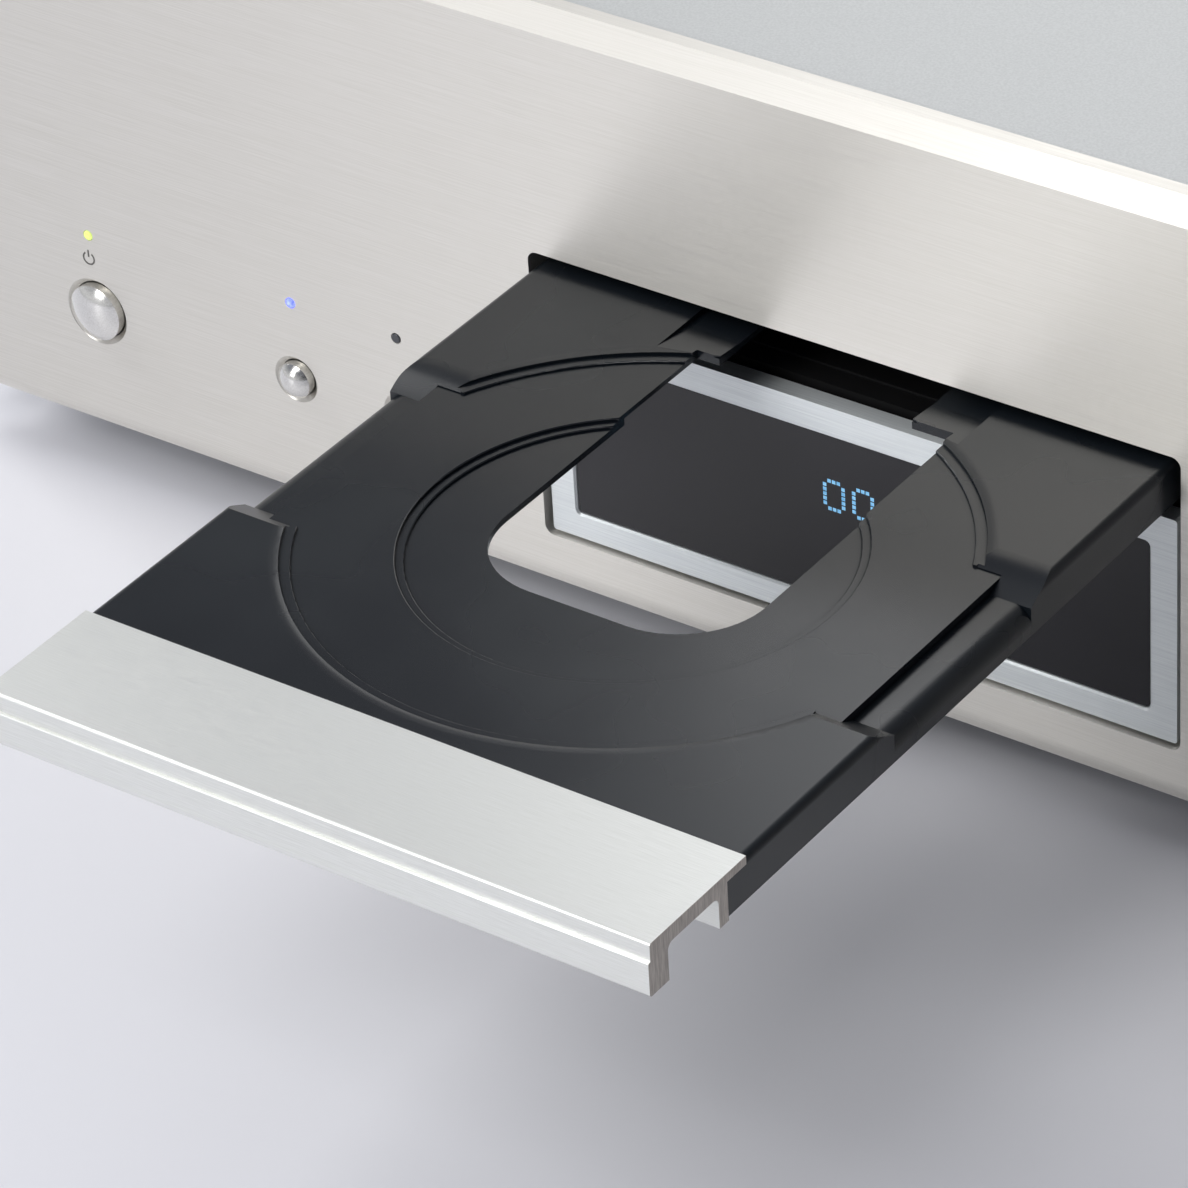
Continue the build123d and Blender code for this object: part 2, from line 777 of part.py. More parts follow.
with BuildPart() as tray:
    with BuildSketch(tray_plane.offset(tray_front)):
        with BuildLine():
            Polyline(
                (-tray_half, -tray_skirt),
                (-tray_half, plateau),
                (tray_half, plateau),
                (tray_half, -tray_skirt),
                (skirt_inner, -tray_skirt),
                (skirt_inner, -tray_under),
                (-skirt_inner, -tray_under),
                (-skirt_inner, -tray_skirt),
                close=True,
            )
        make_face()
        fillet(vertices().group_by(Axis.Y)[-1], plateau_round)
    extrude(amount=-tray_front - tray_rear)
    # Tongue and side walls under the metal lip
    slab((-skirt_inner, skirt_inner), (tongue_front_y, tray_front_y + 1), (seat_z - 4.2, tongue_top))
    for side in (-1, 1):
        wall = tuple(sorted((side * skirt_inner, side * tray_half)))
        slab(wall, (tongue_front_y, tray_front_y + 1), (seat_z - tray_skirt, tongue_top))
    # Thicker floor under the small recess and under the finger notches
    rod(0, disc_y, (seat_z - small_depth - tray_wall, under_z), small_recess + tray_wall)
    for side in (-1, 1):
        floor_width = tuple(sorted((side * (notch_chord - tray_wall), side * skirt_inner)))
        slab(
            floor_width,
            (disc_y - notch_front - tray_wall, disc_y + notch_ramp_rear + tray_wall),
            (seat_z - notch_ledge - tray_wall, under_z),
        )
    # Disc recesses in steps
    with BuildSketch(tray_plane):
        with BuildLine():
            Polyline(
                (disc_recess, roll_low),
                (disc_recess, ledge_height),
                (disc_seat, ledge_height),
                (disc_seat, 0),
                (small_recess, 0),
                (small_recess, -small_ledge),
                (small_seat, -small_ledge),
                (small_seat, -small_depth),
                (0, -small_depth),
                (0, plateau + 1),
                (disc_recess + recess_roll, plateau + 1),
                (disc_recess + recess_roll, plateau),
            )
            ThreePointArc(
                (disc_recess + recess_roll, plateau),
                (disc_recess + recess_roll * 0.45, plateau - (plateau - roll_low) * 0.3),
                (disc_recess, roll_low),
            )
        make_face()
        for radius in (disc_seat, small_recess, small_seat):
            step = vertices().filter_by_position(Axis.X, radius - 0.1, radius + 0.1)
            fillet(step.sort_by(Axis.Y)[-1], step_round)
    revolve(axis=Axis((0, disc_y, 0), (0, 0, 1)), mode=Mode.SUBTRACT)
    # Finger notches
    for side in (-1, 1):
        near, far = side * notch_chord, side * (tray_half + 2)
        notch_cut(min(near, far), max(near, far), -notch_ledge, notch_front, notch_ramp_front)
        inner = side * math.sqrt(disc_recess**2 - notch_front**2)
        notch_cut(min(inner, near), max(inner, near), 0.0, notch_front, notch_floor_rear)
        flat = sorted((side * (notch_chord - 9), inner))
        slab(
            tuple(flat),
            (disc_y - notch_front + notch_slope, disc_y + notch_floor_rear),
            (seat_z, seat_z + 2),
            Mode.SUBTRACT,
        )
        with BuildSketch(tray_plane.offset(notch_front - notch_slope * ramp_rise / plateau)):
            rounding(side, -notch_ledge, notch_round)
        extrude(amount=notch_slope * ramp_rise / plateau - notch_front - notch_ramp_front, mode=Mode.SUBTRACT)
        for station in range(ramp_stations + 1):
            along = station / ramp_stations
            y = notch_ramp_front + along * ramp_run
            with BuildSketch(tray_plane.offset(-y)):
                rounding(side, ramp_z(y), notch_round + along * (plateau_round - 0.05 - notch_round))
        loft(mode=Mode.SUBTRACT)
    # Opening for the turntable and the pickup, open at the rear between two tails
    with BuildSketch(Plane(origin=(-tail_step, disc_y, seat_z), x_dir=(0, 1, 0), z_dir=(1, 0, 0))):
        with BuildLine():
            Polyline(
                (tail_slope_front, plateau),
                (tail_slope_rear, plateau - tail_drop),
                (tray_rear + 1, plateau - tail_drop),
                (tray_rear + 1, plateau + 1),
                (tail_slope_front, plateau + 1),
                close=True,
            )
        make_face()
    extrude(amount=2 * tail_step, mode=Mode.SUBTRACT)
    with BuildSketch(Plane.XY.offset(seat_z - tray_skirt)):
        with BuildLine():
            Polyline(
                (-hole_left, disc_y - hole_front),
                (hole_right, disc_y - hole_front),
                (hole_right, disc_y + hole_rear),
                (tail_gap / 2, disc_y + hole_rear),
                (tail_gap / 2, tray_rear_y + 2),
                (-tail_gap / 2, tray_rear_y + 2),
                (-tail_gap / 2, disc_y + hole_rear),
                (-hole_left, disc_y + hole_rear),
                close=True,
            )
        make_face()
        fillet(vertices().group_by(Axis.Y)[0], hole_corner)
    extrude(amount=tray_skirt + plateau + 2, mode=Mode.SUBTRACT)
    # Rack under the right side
    with BuildSketch(Plane.XY.offset(gear_low)):
        rack_outline(
            rack_pitch_x,
            rack_pitch_x + 5,
            drive_y,
            drive_y - tray_travel - 10,
            drive_y + 10,
            gear_module,
            gear_play,
        )
    extrude(amount=under_z + tray_under / 2 - gear_low)
    for x in (-lip_screw_x, 0, lip_screw_x):
        rod(x, tray_front_y - 2.7, (seat_z - 4.2, seat_z), 1.35, Mode.SUBTRACT)
tray.part.label = "tray"

# Tray lip: one extrusion with a thin rear web and a thick front leg
lip_half = tray_half + lip_overhang
lip_under = lip_top - lip_plate
with BuildPart() as tray_lip:
    with BuildSketch(Plane(origin=(-lip_half, disc_y, seat_z), x_dir=(0, 1, 0), z_dir=(1, 0, 0))):
        with BuildLine():
            Polyline(
                (-tray_front, lip_top),
                (-tray_front, lip_under),
                (-lip_web_back, lip_under),
                (-lip_web_back, -lip_web_drop),
                (-lip_web_back - lip_web, -lip_web_drop),
                (-lip_web_back - lip_web, lip_under - 1.4),
                (-lip_reach + lip_leg, lip_under - 1.4),
                (-lip_reach + lip_leg, -lip_leg_drop),
                (-lip_reach, -lip_leg_drop),
                (-lip_reach, -lip_step_drop),
                (-lip_reach + lip_step, -lip_step_drop),
                (-lip_reach + lip_step, lip_top),
                close=True,
            )
        make_face()
        fillet(vertices().filter_by_position(Axis.Y, lip_under - 1.5, lip_under - 1.3), lip_fillet)
        fillet(vertices().group_by(Axis.Y)[0].sort_by(Axis.X)[0], 0.6)
        fillet(vertices().group_by(Axis.Y)[-1].sort_by(Axis.X)[0], 0.45)
        step = vertices().filter_by_position(Axis.Y, -lip_step_drop - 0.1, -lip_step_drop + 0.1)
        fillet(step.sort_by(Axis.X)[0], 0.25)
    extrude(amount=2 * lip_half)
    for x in (-lip_screw_x, 0, lip_screw_x):
        rod(x, tray_front_y - 2.7, (seat_z + lip_under, seat_z + lip_top - 0.5), 1.35, Mode.SUBTRACT)
tray_lip.part.label = "tray_lip"

with BuildPart() as lip_screws:
    for x in (-lip_screw_x, 0, lip_screw_x):
        rod(x, tray_front_y - 2.7, (seat_z - 5.4, seat_z - 4.2), 2.2)
        rod(x, tray_front_y - 2.7, (seat_z - 4.2, seat_z + lip_top - 0.7), 1.25)
lip_screws.part.label = "lip_screws"

# Mechanism base: two side walls with guides for the tray, a deck for the gears, cross members
wall_inner = base_half - base_wall
base_front = front_y + base_front_gap
skirt_low = seat_z - tray_skirt
ledge_top = skirt_low - guide_play
ledge_front = play_y - lip_web_back + 0.5
tab_low = seat_z + plateau + guide_play
deck_rear = play_y - traverse_ahead - 10
gear_centre = (rack_pitch_x - drive_pitch, drive_y)
mesh_angle = 198.0
mesh = math.radians(mesh_angle)
pinion_centre = (
    gear_centre[0] + (drive_pitch + pinion_pitch) * math.cos(mesh),
    gear_centre[1] + (drive_pitch + pinion_pitch) * math.sin(mesh),
)
motor_centre = (pinion_centre[0] - 43.0, pinion_centre[1] - 1.5)
wheel_top = gear_low - 0.3
wheel_low = deck_top + 0.6
pivot_y = play_y + traverse_arm
support_z = seat_z + disc_lift
frame_top = support_z - traverse_below
frame_low = frame_top - traverse_thick
pivot_z = frame_top - traverse_thick / 2
lift_angle = math.degrees(math.atan(hub_drop / traverse_arm))
cam_y = play_y - traverse_ahead - 8.3
pin_y = cam_y + cam_sheet / 2
pin_drop = (pivot_y - pin_y) * math.sin(math.radians(lift_angle))
pin_low = pivot_z - pin_drop
lug_inner = traverse_half + 2.0
track_low = pin_low - 6.0
with BuildPart() as mech_base:
    for side in (-1, 1):
        wall = tuple(sorted((side * wall_inner, side * base_half)))
        guide = tuple(sorted((side * (base_half - guide_reach), side * wall_inner)))
        lug = tuple(sorted((side * lug_inner, side * wall_inner)))
        tab = tuple(sorted((side * (wall_inner - 6), side * wall_inner)))
        slab(wall, (base_front, base_rear), (base_low, base_top))
        slab(guide, (ledge_front, base_rear), (ledge_top - 3.5, ledge_top))
        slab(lug, (pivot_y - 7, pivot_y + 7), (pivot_z - 7, pivot_z + 7))
        for y in (base_front + 22, play_y + 45):
            slab(tab, (y, y + 12), (tab_low, tab_low + 2))
    slab((-wall_inner, wall_inner), (base_front, deck_rear), (deck_top - deck_thick, deck_top))
    slab((-wall_inner, wall_inner), (deck_rear, cam_y + cam_sheet + 3), (base_low, track_low - 0.2))
    slab((-wall_inner, wall_inner), (cam_y - 2.3, cam_y - 0.3), (base_low, track_low + 2.5))
    slab((-wall_inner, wall_inner), (base_rear - 12, base_rear), (base_low, base_low + 8))
    for x, y in (gear_centre, pinion_centre):
        rod(x, y, (deck_top - deck_thick, gear_top - 0.2), shaft_radius)
    rod(motor_centre[0], motor_centre[1], (deck_top - deck_thick, deck_top), 3.2, Mode.SUBTRACT)
    rod((-base_half, base_half), pivot_y, pivot_z, trunnion_radius + shaft_play, Mode.SUBTRACT)
mech_base.part.label = "mech_base"

# Mechanism brackets: bent steel that carries the base above the servo board
shelf_z = base_low - bracket_sheet - 0.1
riser_x = base_half + 0.3
with BuildPart() as mech_brackets:
    for side in (-1, 1):
        foot = tuple(sorted((side * riser_x, side * (riser_x + 14))))
        riser = tuple(sorted((side * riser_x, side * (riser_x + bracket_sheet))))
        shelf = tuple(sorted((side * (base_half - 8), side * riser_x)))
        for y in (front_y + 28, front_y + 178):
            span = (y, y + 24)
            slab(foot, span, (pan_top, pan_top + bracket_sheet))
            slab(riser, span, (pan_top, base_low + 16))
            slab(shelf, span, (shelf_z, shelf_z + bracket_sheet))
    for x, y in bracket_places:
        rod(x, y, (pan_top, pan_top + bracket_sheet), screw_hole, Mode.SUBTRACT)
mech_brackets.part.label = "mech_brackets"

# Drive gear in mesh with the rack
with BuildPart() as drive_gear:
    with BuildSketch(Plane.XY.offset(gear_low)):
        with Locations(gear_centre):
            with BuildSketch(mode=Mode.PRIVATE) as drive_face:
                gear_outline(drive_teeth, gear_module, gear_play)
            add(drive_face.sketch)
    extrude(amount=gear_thick)
    rod(gear_centre[0], gear_centre[1], (deck_top + 0.3, gear_low), 5.0)
    rod(gear_centre[0], gear_centre[1], (deck_top, gear_top), shaft_radius + shaft_play, Mode.SUBTRACT)
drive_gear.part.label = "drive_gear"

# Pulley gear: a belt wheel with a pinion on it
with BuildPart() as pulley_gear:
    rod(pinion_centre[0], pinion_centre[1], (wheel_low, wheel_top), belt_wheel_radius)
    with BuildSketch(Plane.XY.offset(wheel_top)):
        with Locations(pinion_centre):
            with BuildSketch(mode=Mode.PRIVATE) as pinion_face:
                gear_outline(pinion_teeth, gear_module, gear_play, mesh_angle - 180)
            add(pinion_face.sketch)
    extrude(amount=gear_top - wheel_top)
    rod(pinion_centre[0], pinion_centre[1], (deck_top, gear_top), shaft_radius + shaft_play, Mode.SUBTRACT)
pulley_gear.part.label = "pulley_gear"

with BuildPart() as loading_motor:
    motor_top = deck_top - deck_thick
    rod(motor_centre[0], motor_centre[1], (motor_top - motor_height, motor_top), motor_radius)
    fillet(edges().group_by(Axis.Z)[0], 1.0)
    rod(motor_centre[0], motor_centre[1], (motor_top - motor_height - 1.5, motor_top - motor_height), 3.0)
    rod(motor_centre[0], motor_centre[1], (motor_top, deck_top + 0.2), 3.0)
    rod(motor_centre[0], motor_centre[1], (motor_top - 4, deck_top + 0.2), 1.05, Mode.SUBTRACT)
loading_motor.part.label = "loading_motor"

with BuildPart() as motor_pulley:
    rod(motor_centre[0], motor_centre[1], (wheel_low, wheel_top), motor_pulley_radius)
    rod(motor_centre[0], motor_centre[1], (motor_top - 3, wheel_low), 1.0)
motor_pulley.part.label = "motor_pulley"

# Drive belt: a flat loop around both pulleys
belt_low = (wheel_low + wheel_top - belt_height) / 2
with BuildPart() as drive_belt:
    for grow, mode in ((belt_thick, Mode.ADD), (0, Mode.SUBTRACT)):
        with BuildSketch(Plane.XY.offset(belt_low)):
            with Locations(pinion_centre):
                Circle(belt_wheel_radius + belt_play + grow)
            with Locations(motor_centre):
                Circle(motor_pulley_radius + belt_play + grow)
            make_hull()
        extrude(amount=belt_height, mode=mode)
drive_belt.part.label = "drive_belt"

# Clamp bridge over the turntable, and the puck that hangs in it
bridge_low = base_top
bridge_top = bridge_low + bridge_sheet
bridge_front = play_y - puck_flange - 4
bridge_rear = play_y + puck_flange + 4
with BuildPart() as clamp_bridge:
    slab((-base_half, base_half), (bridge_front, bridge_rear), (bridge_low, bridge_top))
    for side in (-1, 1):
        fold = tuple(sorted((side * (base_half + seam), side * (base_half + seam + bridge_sheet))))
        cap = tuple(sorted((side * base_half, side * (base_half + seam + bridge_sheet))))
        slab(fold, (play_y - 12, play_y + 12), (bridge_low - 14, bridge_top))
        slab(cap, (play_y - 12, play_y + 12), (bridge_low, bridge_top))
    rod(0, play_y, (bridge_low, bridge_top), puck_radius + puck_play, Mode.SUBTRACT)
clamp_bridge.part.label = "clamp_bridge"

puck_low = support_z + puck_gap
with BuildPart() as clamp_puck:
    rod(0, play_y, (puck_low, bridge_top + 0.1), puck_radius)
    rod(0, play_y, (bridge_top + 0.1, bridge_top + 1.6), puck_flange)
    rod(0, play_y, (bridge_top + 1.6, bridge_top + 4.0), puck_radius - 4)
    fillet(edges().group_by(Axis.Z)[-1], 0.8)
    rod(0, play_y, (puck_low, support_z + cone_height + 1.0), disc_bore_radius + 1.2, Mode.SUBTRACT)
clamp_puck.part.label = "clamp_puck"

# The traverse is laid out level, as it stands in play, on a plane that tips it down to rest
tip = math.radians(lift_angle)
lowered = Plane(
    origin=(
        0,
        pivot_y - pivot_y * math.cos(tip) + pivot_z * math.sin(tip),
        pivot_z - pivot_y * math.sin(tip) - pivot_z * math.cos(tip),
    ),
    x_dir=(1, 0, 0),
    z_dir=(0, -math.sin(tip), math.cos(tip)),
)
frame_front = play_y - traverse_ahead
frame_rear = pivot_y + 6
well_front = play_y + 17
well_rear = play_y + 91
well_half = rod_spread + 6
rod_z = frame_top + rod_rise
lens_y = play_y + pickup_inner
sled_pitch = sled_module * sled_pinion_teeth / 2
wheel_pitch = sled_module * sled_wheel_teeth / 2
motor_pitch = sled_module * sled_motor_teeth / 2
sled_rack_x = -rod_spread - 8.0
sled_gear_x = sled_rack_x - sled_pitch
sled_gear_y = lens_y + pickup_travel - 1.1
sled_motor_y = sled_gear_y + wheel_pitch + motor_pitch
sled_wheel_low = frame_top + 0.4
sled_wheel_top = sled_wheel_low + 2.2
sled_pinion_top = sled_wheel_top + 3.9

with BuildPart(lowered) as traverse_frame:
    slab((-traverse_half, traverse_half), (frame_front, frame_rear), (frame_low, frame_top))
    slab((-well_half, well_half), (well_front, well_rear), (frame_low, frame_top), Mode.SUBTRACT)
    for side in (-1, 1):
        x = side * rod_spread
        for y in (well_front - 6, well_rear):
            slab((x - rod_block, x + rod_block), (y, y + 6), (frame_top, rod_z + 3))
            rod(x, (y, y + 6), rod_z, rod_radius + 0.02, Mode.SUBTRACT)
        trunnion = tuple(sorted((side * traverse_half, side * (lug_inner + 9))))
        rod(trunnion, pivot_y, pivot_z, trunnion_radius)
    rod(0, (cam_y - 0.6, frame_front), pivot_z, cam_pin_radius)
    rod(0, play_y, (frame_low, frame_top), 4.0, Mode.SUBTRACT)
    rod(sled_gear_x, sled_gear_y, (frame_low, sled_pinion_top - 0.2), shaft_radius)
    rod(sled_gear_x, sled_motor_y, (frame_low, frame_top), 2.2, Mode.SUBTRACT)
traverse_frame.part.label = "traverse_frame"

shaft_low = frame_low - 3
table_low = support_z - turntable_thick
with BuildPart(lowered) as spindle_motor:
    rod(0, play_y, (frame_top, table_low - 1.5), spindle_motor_radius)
    rod(0, play_y, (shaft_low - 2, frame_top), 3.8)
    rod(0, play_y, (shaft_low - 0.5, table_low), 1.25 + shaft_play, Mode.SUBTRACT)
spindle_motor.part.label = "spindle_motor"

with BuildPart(lowered) as turntable:
    rod(0, play_y, (table_low, support_z), turntable_radius)
    with Locations((0, play_y, support_z + cone_height / 2)):
        Cone(disc_bore_radius - 0.1, disc_bore_radius - 1.4, cone_height)
    rod(0, play_y, (shaft_low, table_low), 1.25)
turntable.part.label = "turntable"

with BuildPart(lowered) as guide_rods:
    for side in (-1, 1):
        rod(side * rod_spread, (well_front - 5.5, well_rear + 5.5), rod_z, rod_radius)
guide_rods.part.label = "guide_rods"

sled_low = frame_top + 2
sled_top = frame_top + 10
lens_low = sled_top + 2.2
lens_top = support_z - 1.5
with BuildPart(lowered) as pickup_sled:
    slab((-22, 22), (lens_y - 7, lens_y + 23), (sled_low, sled_top))
    slab((-rod_spread - 4, rod_spread + 4), (lens_y - 3, lens_y + 17), (rod_z - 3, rod_z + 3))
    for y in (lens_y - 6.8, lens_y + 8):
        slab((-5, 5), (y, y + 1.5), (sled_top, lens_top - 2))
    for side in (-1, 1):
        rod(side * rod_spread, (lens_y - 3, lens_y + 17), rod_z, rod_radius + shaft_play, Mode.SUBTRACT)
    rack_low = sled_wheel_top + 0.5
    rack_top = sled_pinion_top - 0.4
    slab(
        (-rod_spread - 5, -rod_spread - 3),
        (lens_y - 5, sled_gear_y + 4),
        (rack_low, rack_top),
    )
    with BuildSketch(lowered.offset(rack_low)):
        rack_outline(
            sled_rack_x,
            -rod_spread - 5,
            sled_gear_y,
            sled_gear_y - pickup_travel - 4,
            sled_gear_y + 4,
            sled_module,
            sled_gear_play,
        )
    extrude(amount=rack_top - rack_low)
pickup_sled.part.label = "pickup_sled"

with BuildPart(lowered) as lens_holder:
    slab((-5.5, 5.5), (lens_y - 5, lens_y + 7), (lens_low, lens_top - 2.5))
    rod(0, lens_y, (lens_low, lens_top - 0.3), 4.5)
    rod(0, lens_y, (lens_low, lens_top - 0.3), 3.3, Mode.SUBTRACT)
lens_holder.part.label = "lens_holder"

with BuildPart(lowered) as objective_lens:
    rod(0, lens_y, (lens_top - 2.4, lens_top), 3.25)
    fillet(edges().sort_by(Axis.Z)[-1], 1.2)
objective_lens.part.label = "objective_lens"

with BuildPart(lowered) as sled_gear:
    with BuildSketch(lowered.offset(sled_wheel_low)):
        with Locations((sled_gear_x, sled_gear_y)):
            with BuildSketch(mode=Mode.PRIVATE) as wheel_face:
                gear_outline(sled_wheel_teeth, sled_module, sled_gear_play, 90)
            add(wheel_face.sketch)
    extrude(amount=sled_wheel_top - sled_wheel_low)
    with BuildSketch(lowered.offset(sled_wheel_top)):
        with Locations((sled_gear_x, sled_gear_y)):
            with BuildSketch(mode=Mode.PRIVATE) as small_face:
                gear_outline(sled_pinion_teeth, sled_module, sled_gear_play)
            add(small_face.sketch)
    extrude(amount=sled_pinion_top - sled_wheel_top)
    rod(sled_gear_x, sled_gear_y, (sled_wheel_low, sled_pinion_top), shaft_radius + shaft_play, Mode.SUBTRACT)
sled_gear.part.label = "sled_gear"

with BuildPart(lowered) as sled_motor:
    rod(sled_gear_x, sled_motor_y, (frame_low - 11, frame_low), 8.0)
    rod(sled_gear_x, sled_motor_y, (frame_low, frame_top), 2.0)
    rod(sled_gear_x, sled_motor_y, (frame_low - 4, frame_top), 0.8 + shaft_play, Mode.SUBTRACT)
sled_motor.part.label = "sled_motor"

with BuildPart(lowered) as sled_pinion:
    with BuildSketch(lowered.offset(sled_wheel_low)):
        with Locations((sled_gear_x, sled_motor_y)):
            with BuildSketch(mode=Mode.PRIVATE) as motor_face:
                gear_outline(sled_motor_teeth, sled_module, sled_gear_play)
            add(motor_face.sketch)
    extrude(amount=sled_wheel_top - sled_wheel_low)
    rod(sled_gear_x, sled_motor_y, (frame_low - 3.5, sled_wheel_low), 0.8)
sled_pinion.part.label = "sled_pinion"

# Cam slider: its sloped slot lifts the pin at the front of the traverse
slot_width = 2 * cam_pin_radius + 0.8
with BuildPart() as cam_slider:
    slab((-cam_travel - 8, 8), (cam_y, cam_y + cam_sheet), (track_low, pivot_z + 6))
    slot_angle = math.degrees(math.atan2(pin_drop, -cam_travel))
    slot_length = math.hypot(cam_travel, pin_drop)
    with BuildSketch(facing_front(cam_y)):
        with Locations(Location((-cam_travel / 2, (pin_low + pivot_z) / 2, 0), (0, 0, slot_angle))):
            SlotCenterToCenter(slot_length, slot_width)
    extrude(amount=-cam_sheet, mode=Mode.SUBTRACT)
cam_slider.part.label = "cam_slider"

# Transformers: two laminated cores, each with its coil, on the left
core_places = [front_y + 62, front_y + 122]
window_width = 13.0
leg_width = transformer_width - 2 * window_width
core_low = pan_top + 3
core_high = core_low + transformer_height
yoke = 11.0
with BuildPart() as transformer_cores:
    for y in core_places:
        x_span = (transformer_x - transformer_width / 2, transformer_x + transformer_width / 2)
        y_span = (y - transformer_stack / 2, y + transformer_stack / 2)
        slab(x_span, y_span, (core_low, core_high))
        slab((x_span[0] - 8, x_span[1] + 8), y_span, (pan_top, core_low))
        for side in (-1, 1):
            middle = transformer_x + side * (leg_width / 4 + window_width / 2)
            slab(
                (middle - window_width / 2, middle + window_width / 2),
                y_span,
                (core_low + yoke, core_high - yoke),
                Mode.SUBTRACT,
            )
transformer_cores.part.label = "transformer_cores"

with BuildPart() as transformer_windings:
    for y in core_places:
        reach = leg_width / 4 + window_width - 0.3
        depth = transformer_stack / 2 + coil_thick
        slab(
            (transformer_x - reach, transformer_x + reach),
            (y - depth, y + depth),
            (core_low + yoke + 0.3, core_high - yoke - 0.3),
        )
    fillet(edges().filter_by(Axis.Z), 4.0)
    for y in core_places:
        slab(
            (transformer_x - leg_width / 4 - 0.2, transformer_x + leg_width / 4 + 0.2),
            (y - transformer_stack / 2 - 0.2, y + transformer_stack / 2 + 0.2),
            (core_low, core_high),
            Mode.SUBTRACT,
        )
transformer_windings.part.label = "transformer_windings"


def circuit_board(x, y, chips):
    """Board on four pillars, with chips given as middle X, middle Y, width, depth, height."""
    slab(x, y, (board_z, board_z + board_thick))
    for px in (x[0] + 6, x[1] - 6):
        for py in (y[0] + 6, y[1] - 6):
            rod(px, py, (pan_top, board_z), pillar_radius)
    for cx, cy, width, depth, height in chips:
        slab(
            (cx - width / 2, cx + width / 2),
            (cy - depth / 2, cy + depth / 2),
            (board_z + board_thick, board_z + board_thick + height),
        )


# Circuit boards: power on the left, audio on the right, servo under the mechanism
board_side = inner_half - 8.3
power_x = (-board_side, -96.0)
power_y = (core_places[1] + 34, rear_y - 22)
audio_x = (102.0, board_side)
audio_y = (front_y + 60, rear_y - 6)
servo_x = (-60.0, 62.0)
servo_y = (front_y + 35, rear_y - 6)
relay_y = rear_y - 45
with BuildPart() as power_board:
    chips = [(power_x[0] + 15, power_y[0] + 14, 14, 20, 14), (power_x[0] + 15, power_y[0] + 45, 16, 22, 20)]
    circuit_board(power_x, power_y, chips)
power_board.part.label = "power_board"

with BuildPart() as audio_board:
    chips = [(audio_x[0] + x, audio_y[0] + 90, 12, 12, 2) for x in (23, 48, 73)]
    chips += [(audio_x[0] + x, relay_y, 10, 20, 10) for x in (43, 78)]
    circuit_board(audio_x, audio_y, chips)
audio_board.part.label = "audio_board"

with BuildPart() as servo_board:
    chips = [(-20, servo_y[0] + 60, 24, 24, 2), (25, servo_y[0] + 70, 16, 16, 2)]
    chips += [(0, servo_y[0] + 200, 20, 20, 2)]
    circuit_board(servo_x, servo_y, chips)
servo_board.part.label = "servo_board"

# Capacitors: tall ones on the power board, small ones on the audio board
capacitor_low = board_z + board_thick
with BuildPart() as capacitors:
    for x in (-165, -138, -111):
        for y in (power_y[1] - 50, power_y[1] - 22):
            rod(x, y, (capacitor_low, capacitor_low + 40), 11.0)
    for x in (120, 140, 160, 180):
        for y in (audio_y[0] + 25, audio_y[0] + 50, audio_y[0] + 125, audio_y[0] + 150):
            rod(x, y, (capacitor_low, capacitor_low + 20), 6.0)
    fillet(edges().group_by(Axis.Z)[-1], 0.8)
capacitors.part.label = "capacitors"

# Heat sink: a finned block on the power board
with BuildPart() as heat_sink:
    sink_y = power_y[0] + 12
    sink_top = capacitor_low + heat_sink_height
    slab((-172, -104), (sink_y, sink_y + 3), (capacitor_low, sink_top))
    for fin in range(9):
        x = -170 + 8 * fin
        slab((x - 1, x + 1), (sink_y + 3, sink_y + 19), (capacitor_low, sink_top))
heat_sink.part.label = "heat_sink"

# Ribbon cables: flat strips between the boards
ribbon_thick = 0.5


def ribbon(x, path, width, along):
    """Flat strip of one width, whose middle follows a path in a plane square to along."""
    plane = Plane.YZ.offset(x) if along == "x" else facing_front(x)
    with BuildSketch(plane) as strip:
        with BuildLine() as route:
            FilletPolyline(*path, radius=4)
        trace(route.line, ribbon_thick)
    extrude(strip.sketch, amount=width)


with BuildPart() as ribbon_cables:
    strip_z = capacitor_low + ribbon_thick / 2
    display_back = holder_back + seam + board_thick
    ribbon(
        -15,
        [
            (display_back + ribbon_thick / 2, window_mid),
            (display_back + ribbon_thick / 2, strip_z + 9),
            (servo_y[0] + 12, strip_z + 9),
            (servo_y[0] + 12, strip_z),
        ],
        30,
        "x",
    )
    for y in (rear_y - 60, rear_y - 92):
        ribbon(
            y,
            [
                (servo_x[1] - 6, strip_z - 0.25),
                (servo_x[1] - 6, strip_z + 12),
                (audio_x[0] + 6, strip_z + 12),
                (audio_x[0] + 6, strip_z - 0.25),
            ],
            24,
            "y",
        )
ribbon_cables.part.label = "ribbon_cables"

pieces = [
    front_panel, display_bezel, display_window, display_holder, display_module, slot_liner,
    *lamp_parts, front_subframe, control_boards, *button_parts,
    feet, foot_pads, bottom_pan, rear_panel, socket_contacts, socket_blocks, mains_inlet,
    top_cover, case_screws, tray, tray_lip, lip_screws, mech_base, mech_brackets,
    drive_gear, pulley_gear, loading_motor, motor_pulley, drive_belt, clamp_bridge, clamp_puck,
    traverse_frame, spindle_motor, turntable, guide_rods, pickup_sled, lens_holder,
    objective_lens, sled_gear, sled_motor, sled_pinion, cam_slider,
    transformer_cores, transformer_windings, power_board, audio_board, servo_board,
    capacitors, heat_sink, ribbon_cables,
]
for piece in pieces:
    export_step(piece.part, f"parts/{piece.part.label}.step")

print("tray travel", round(tray_travel, 2), "lift angle", round(lift_angle, 4), "pieces", len(pieces))
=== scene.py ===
import math

import bmesh
import bpy
from mathutils import Matrix, Vector


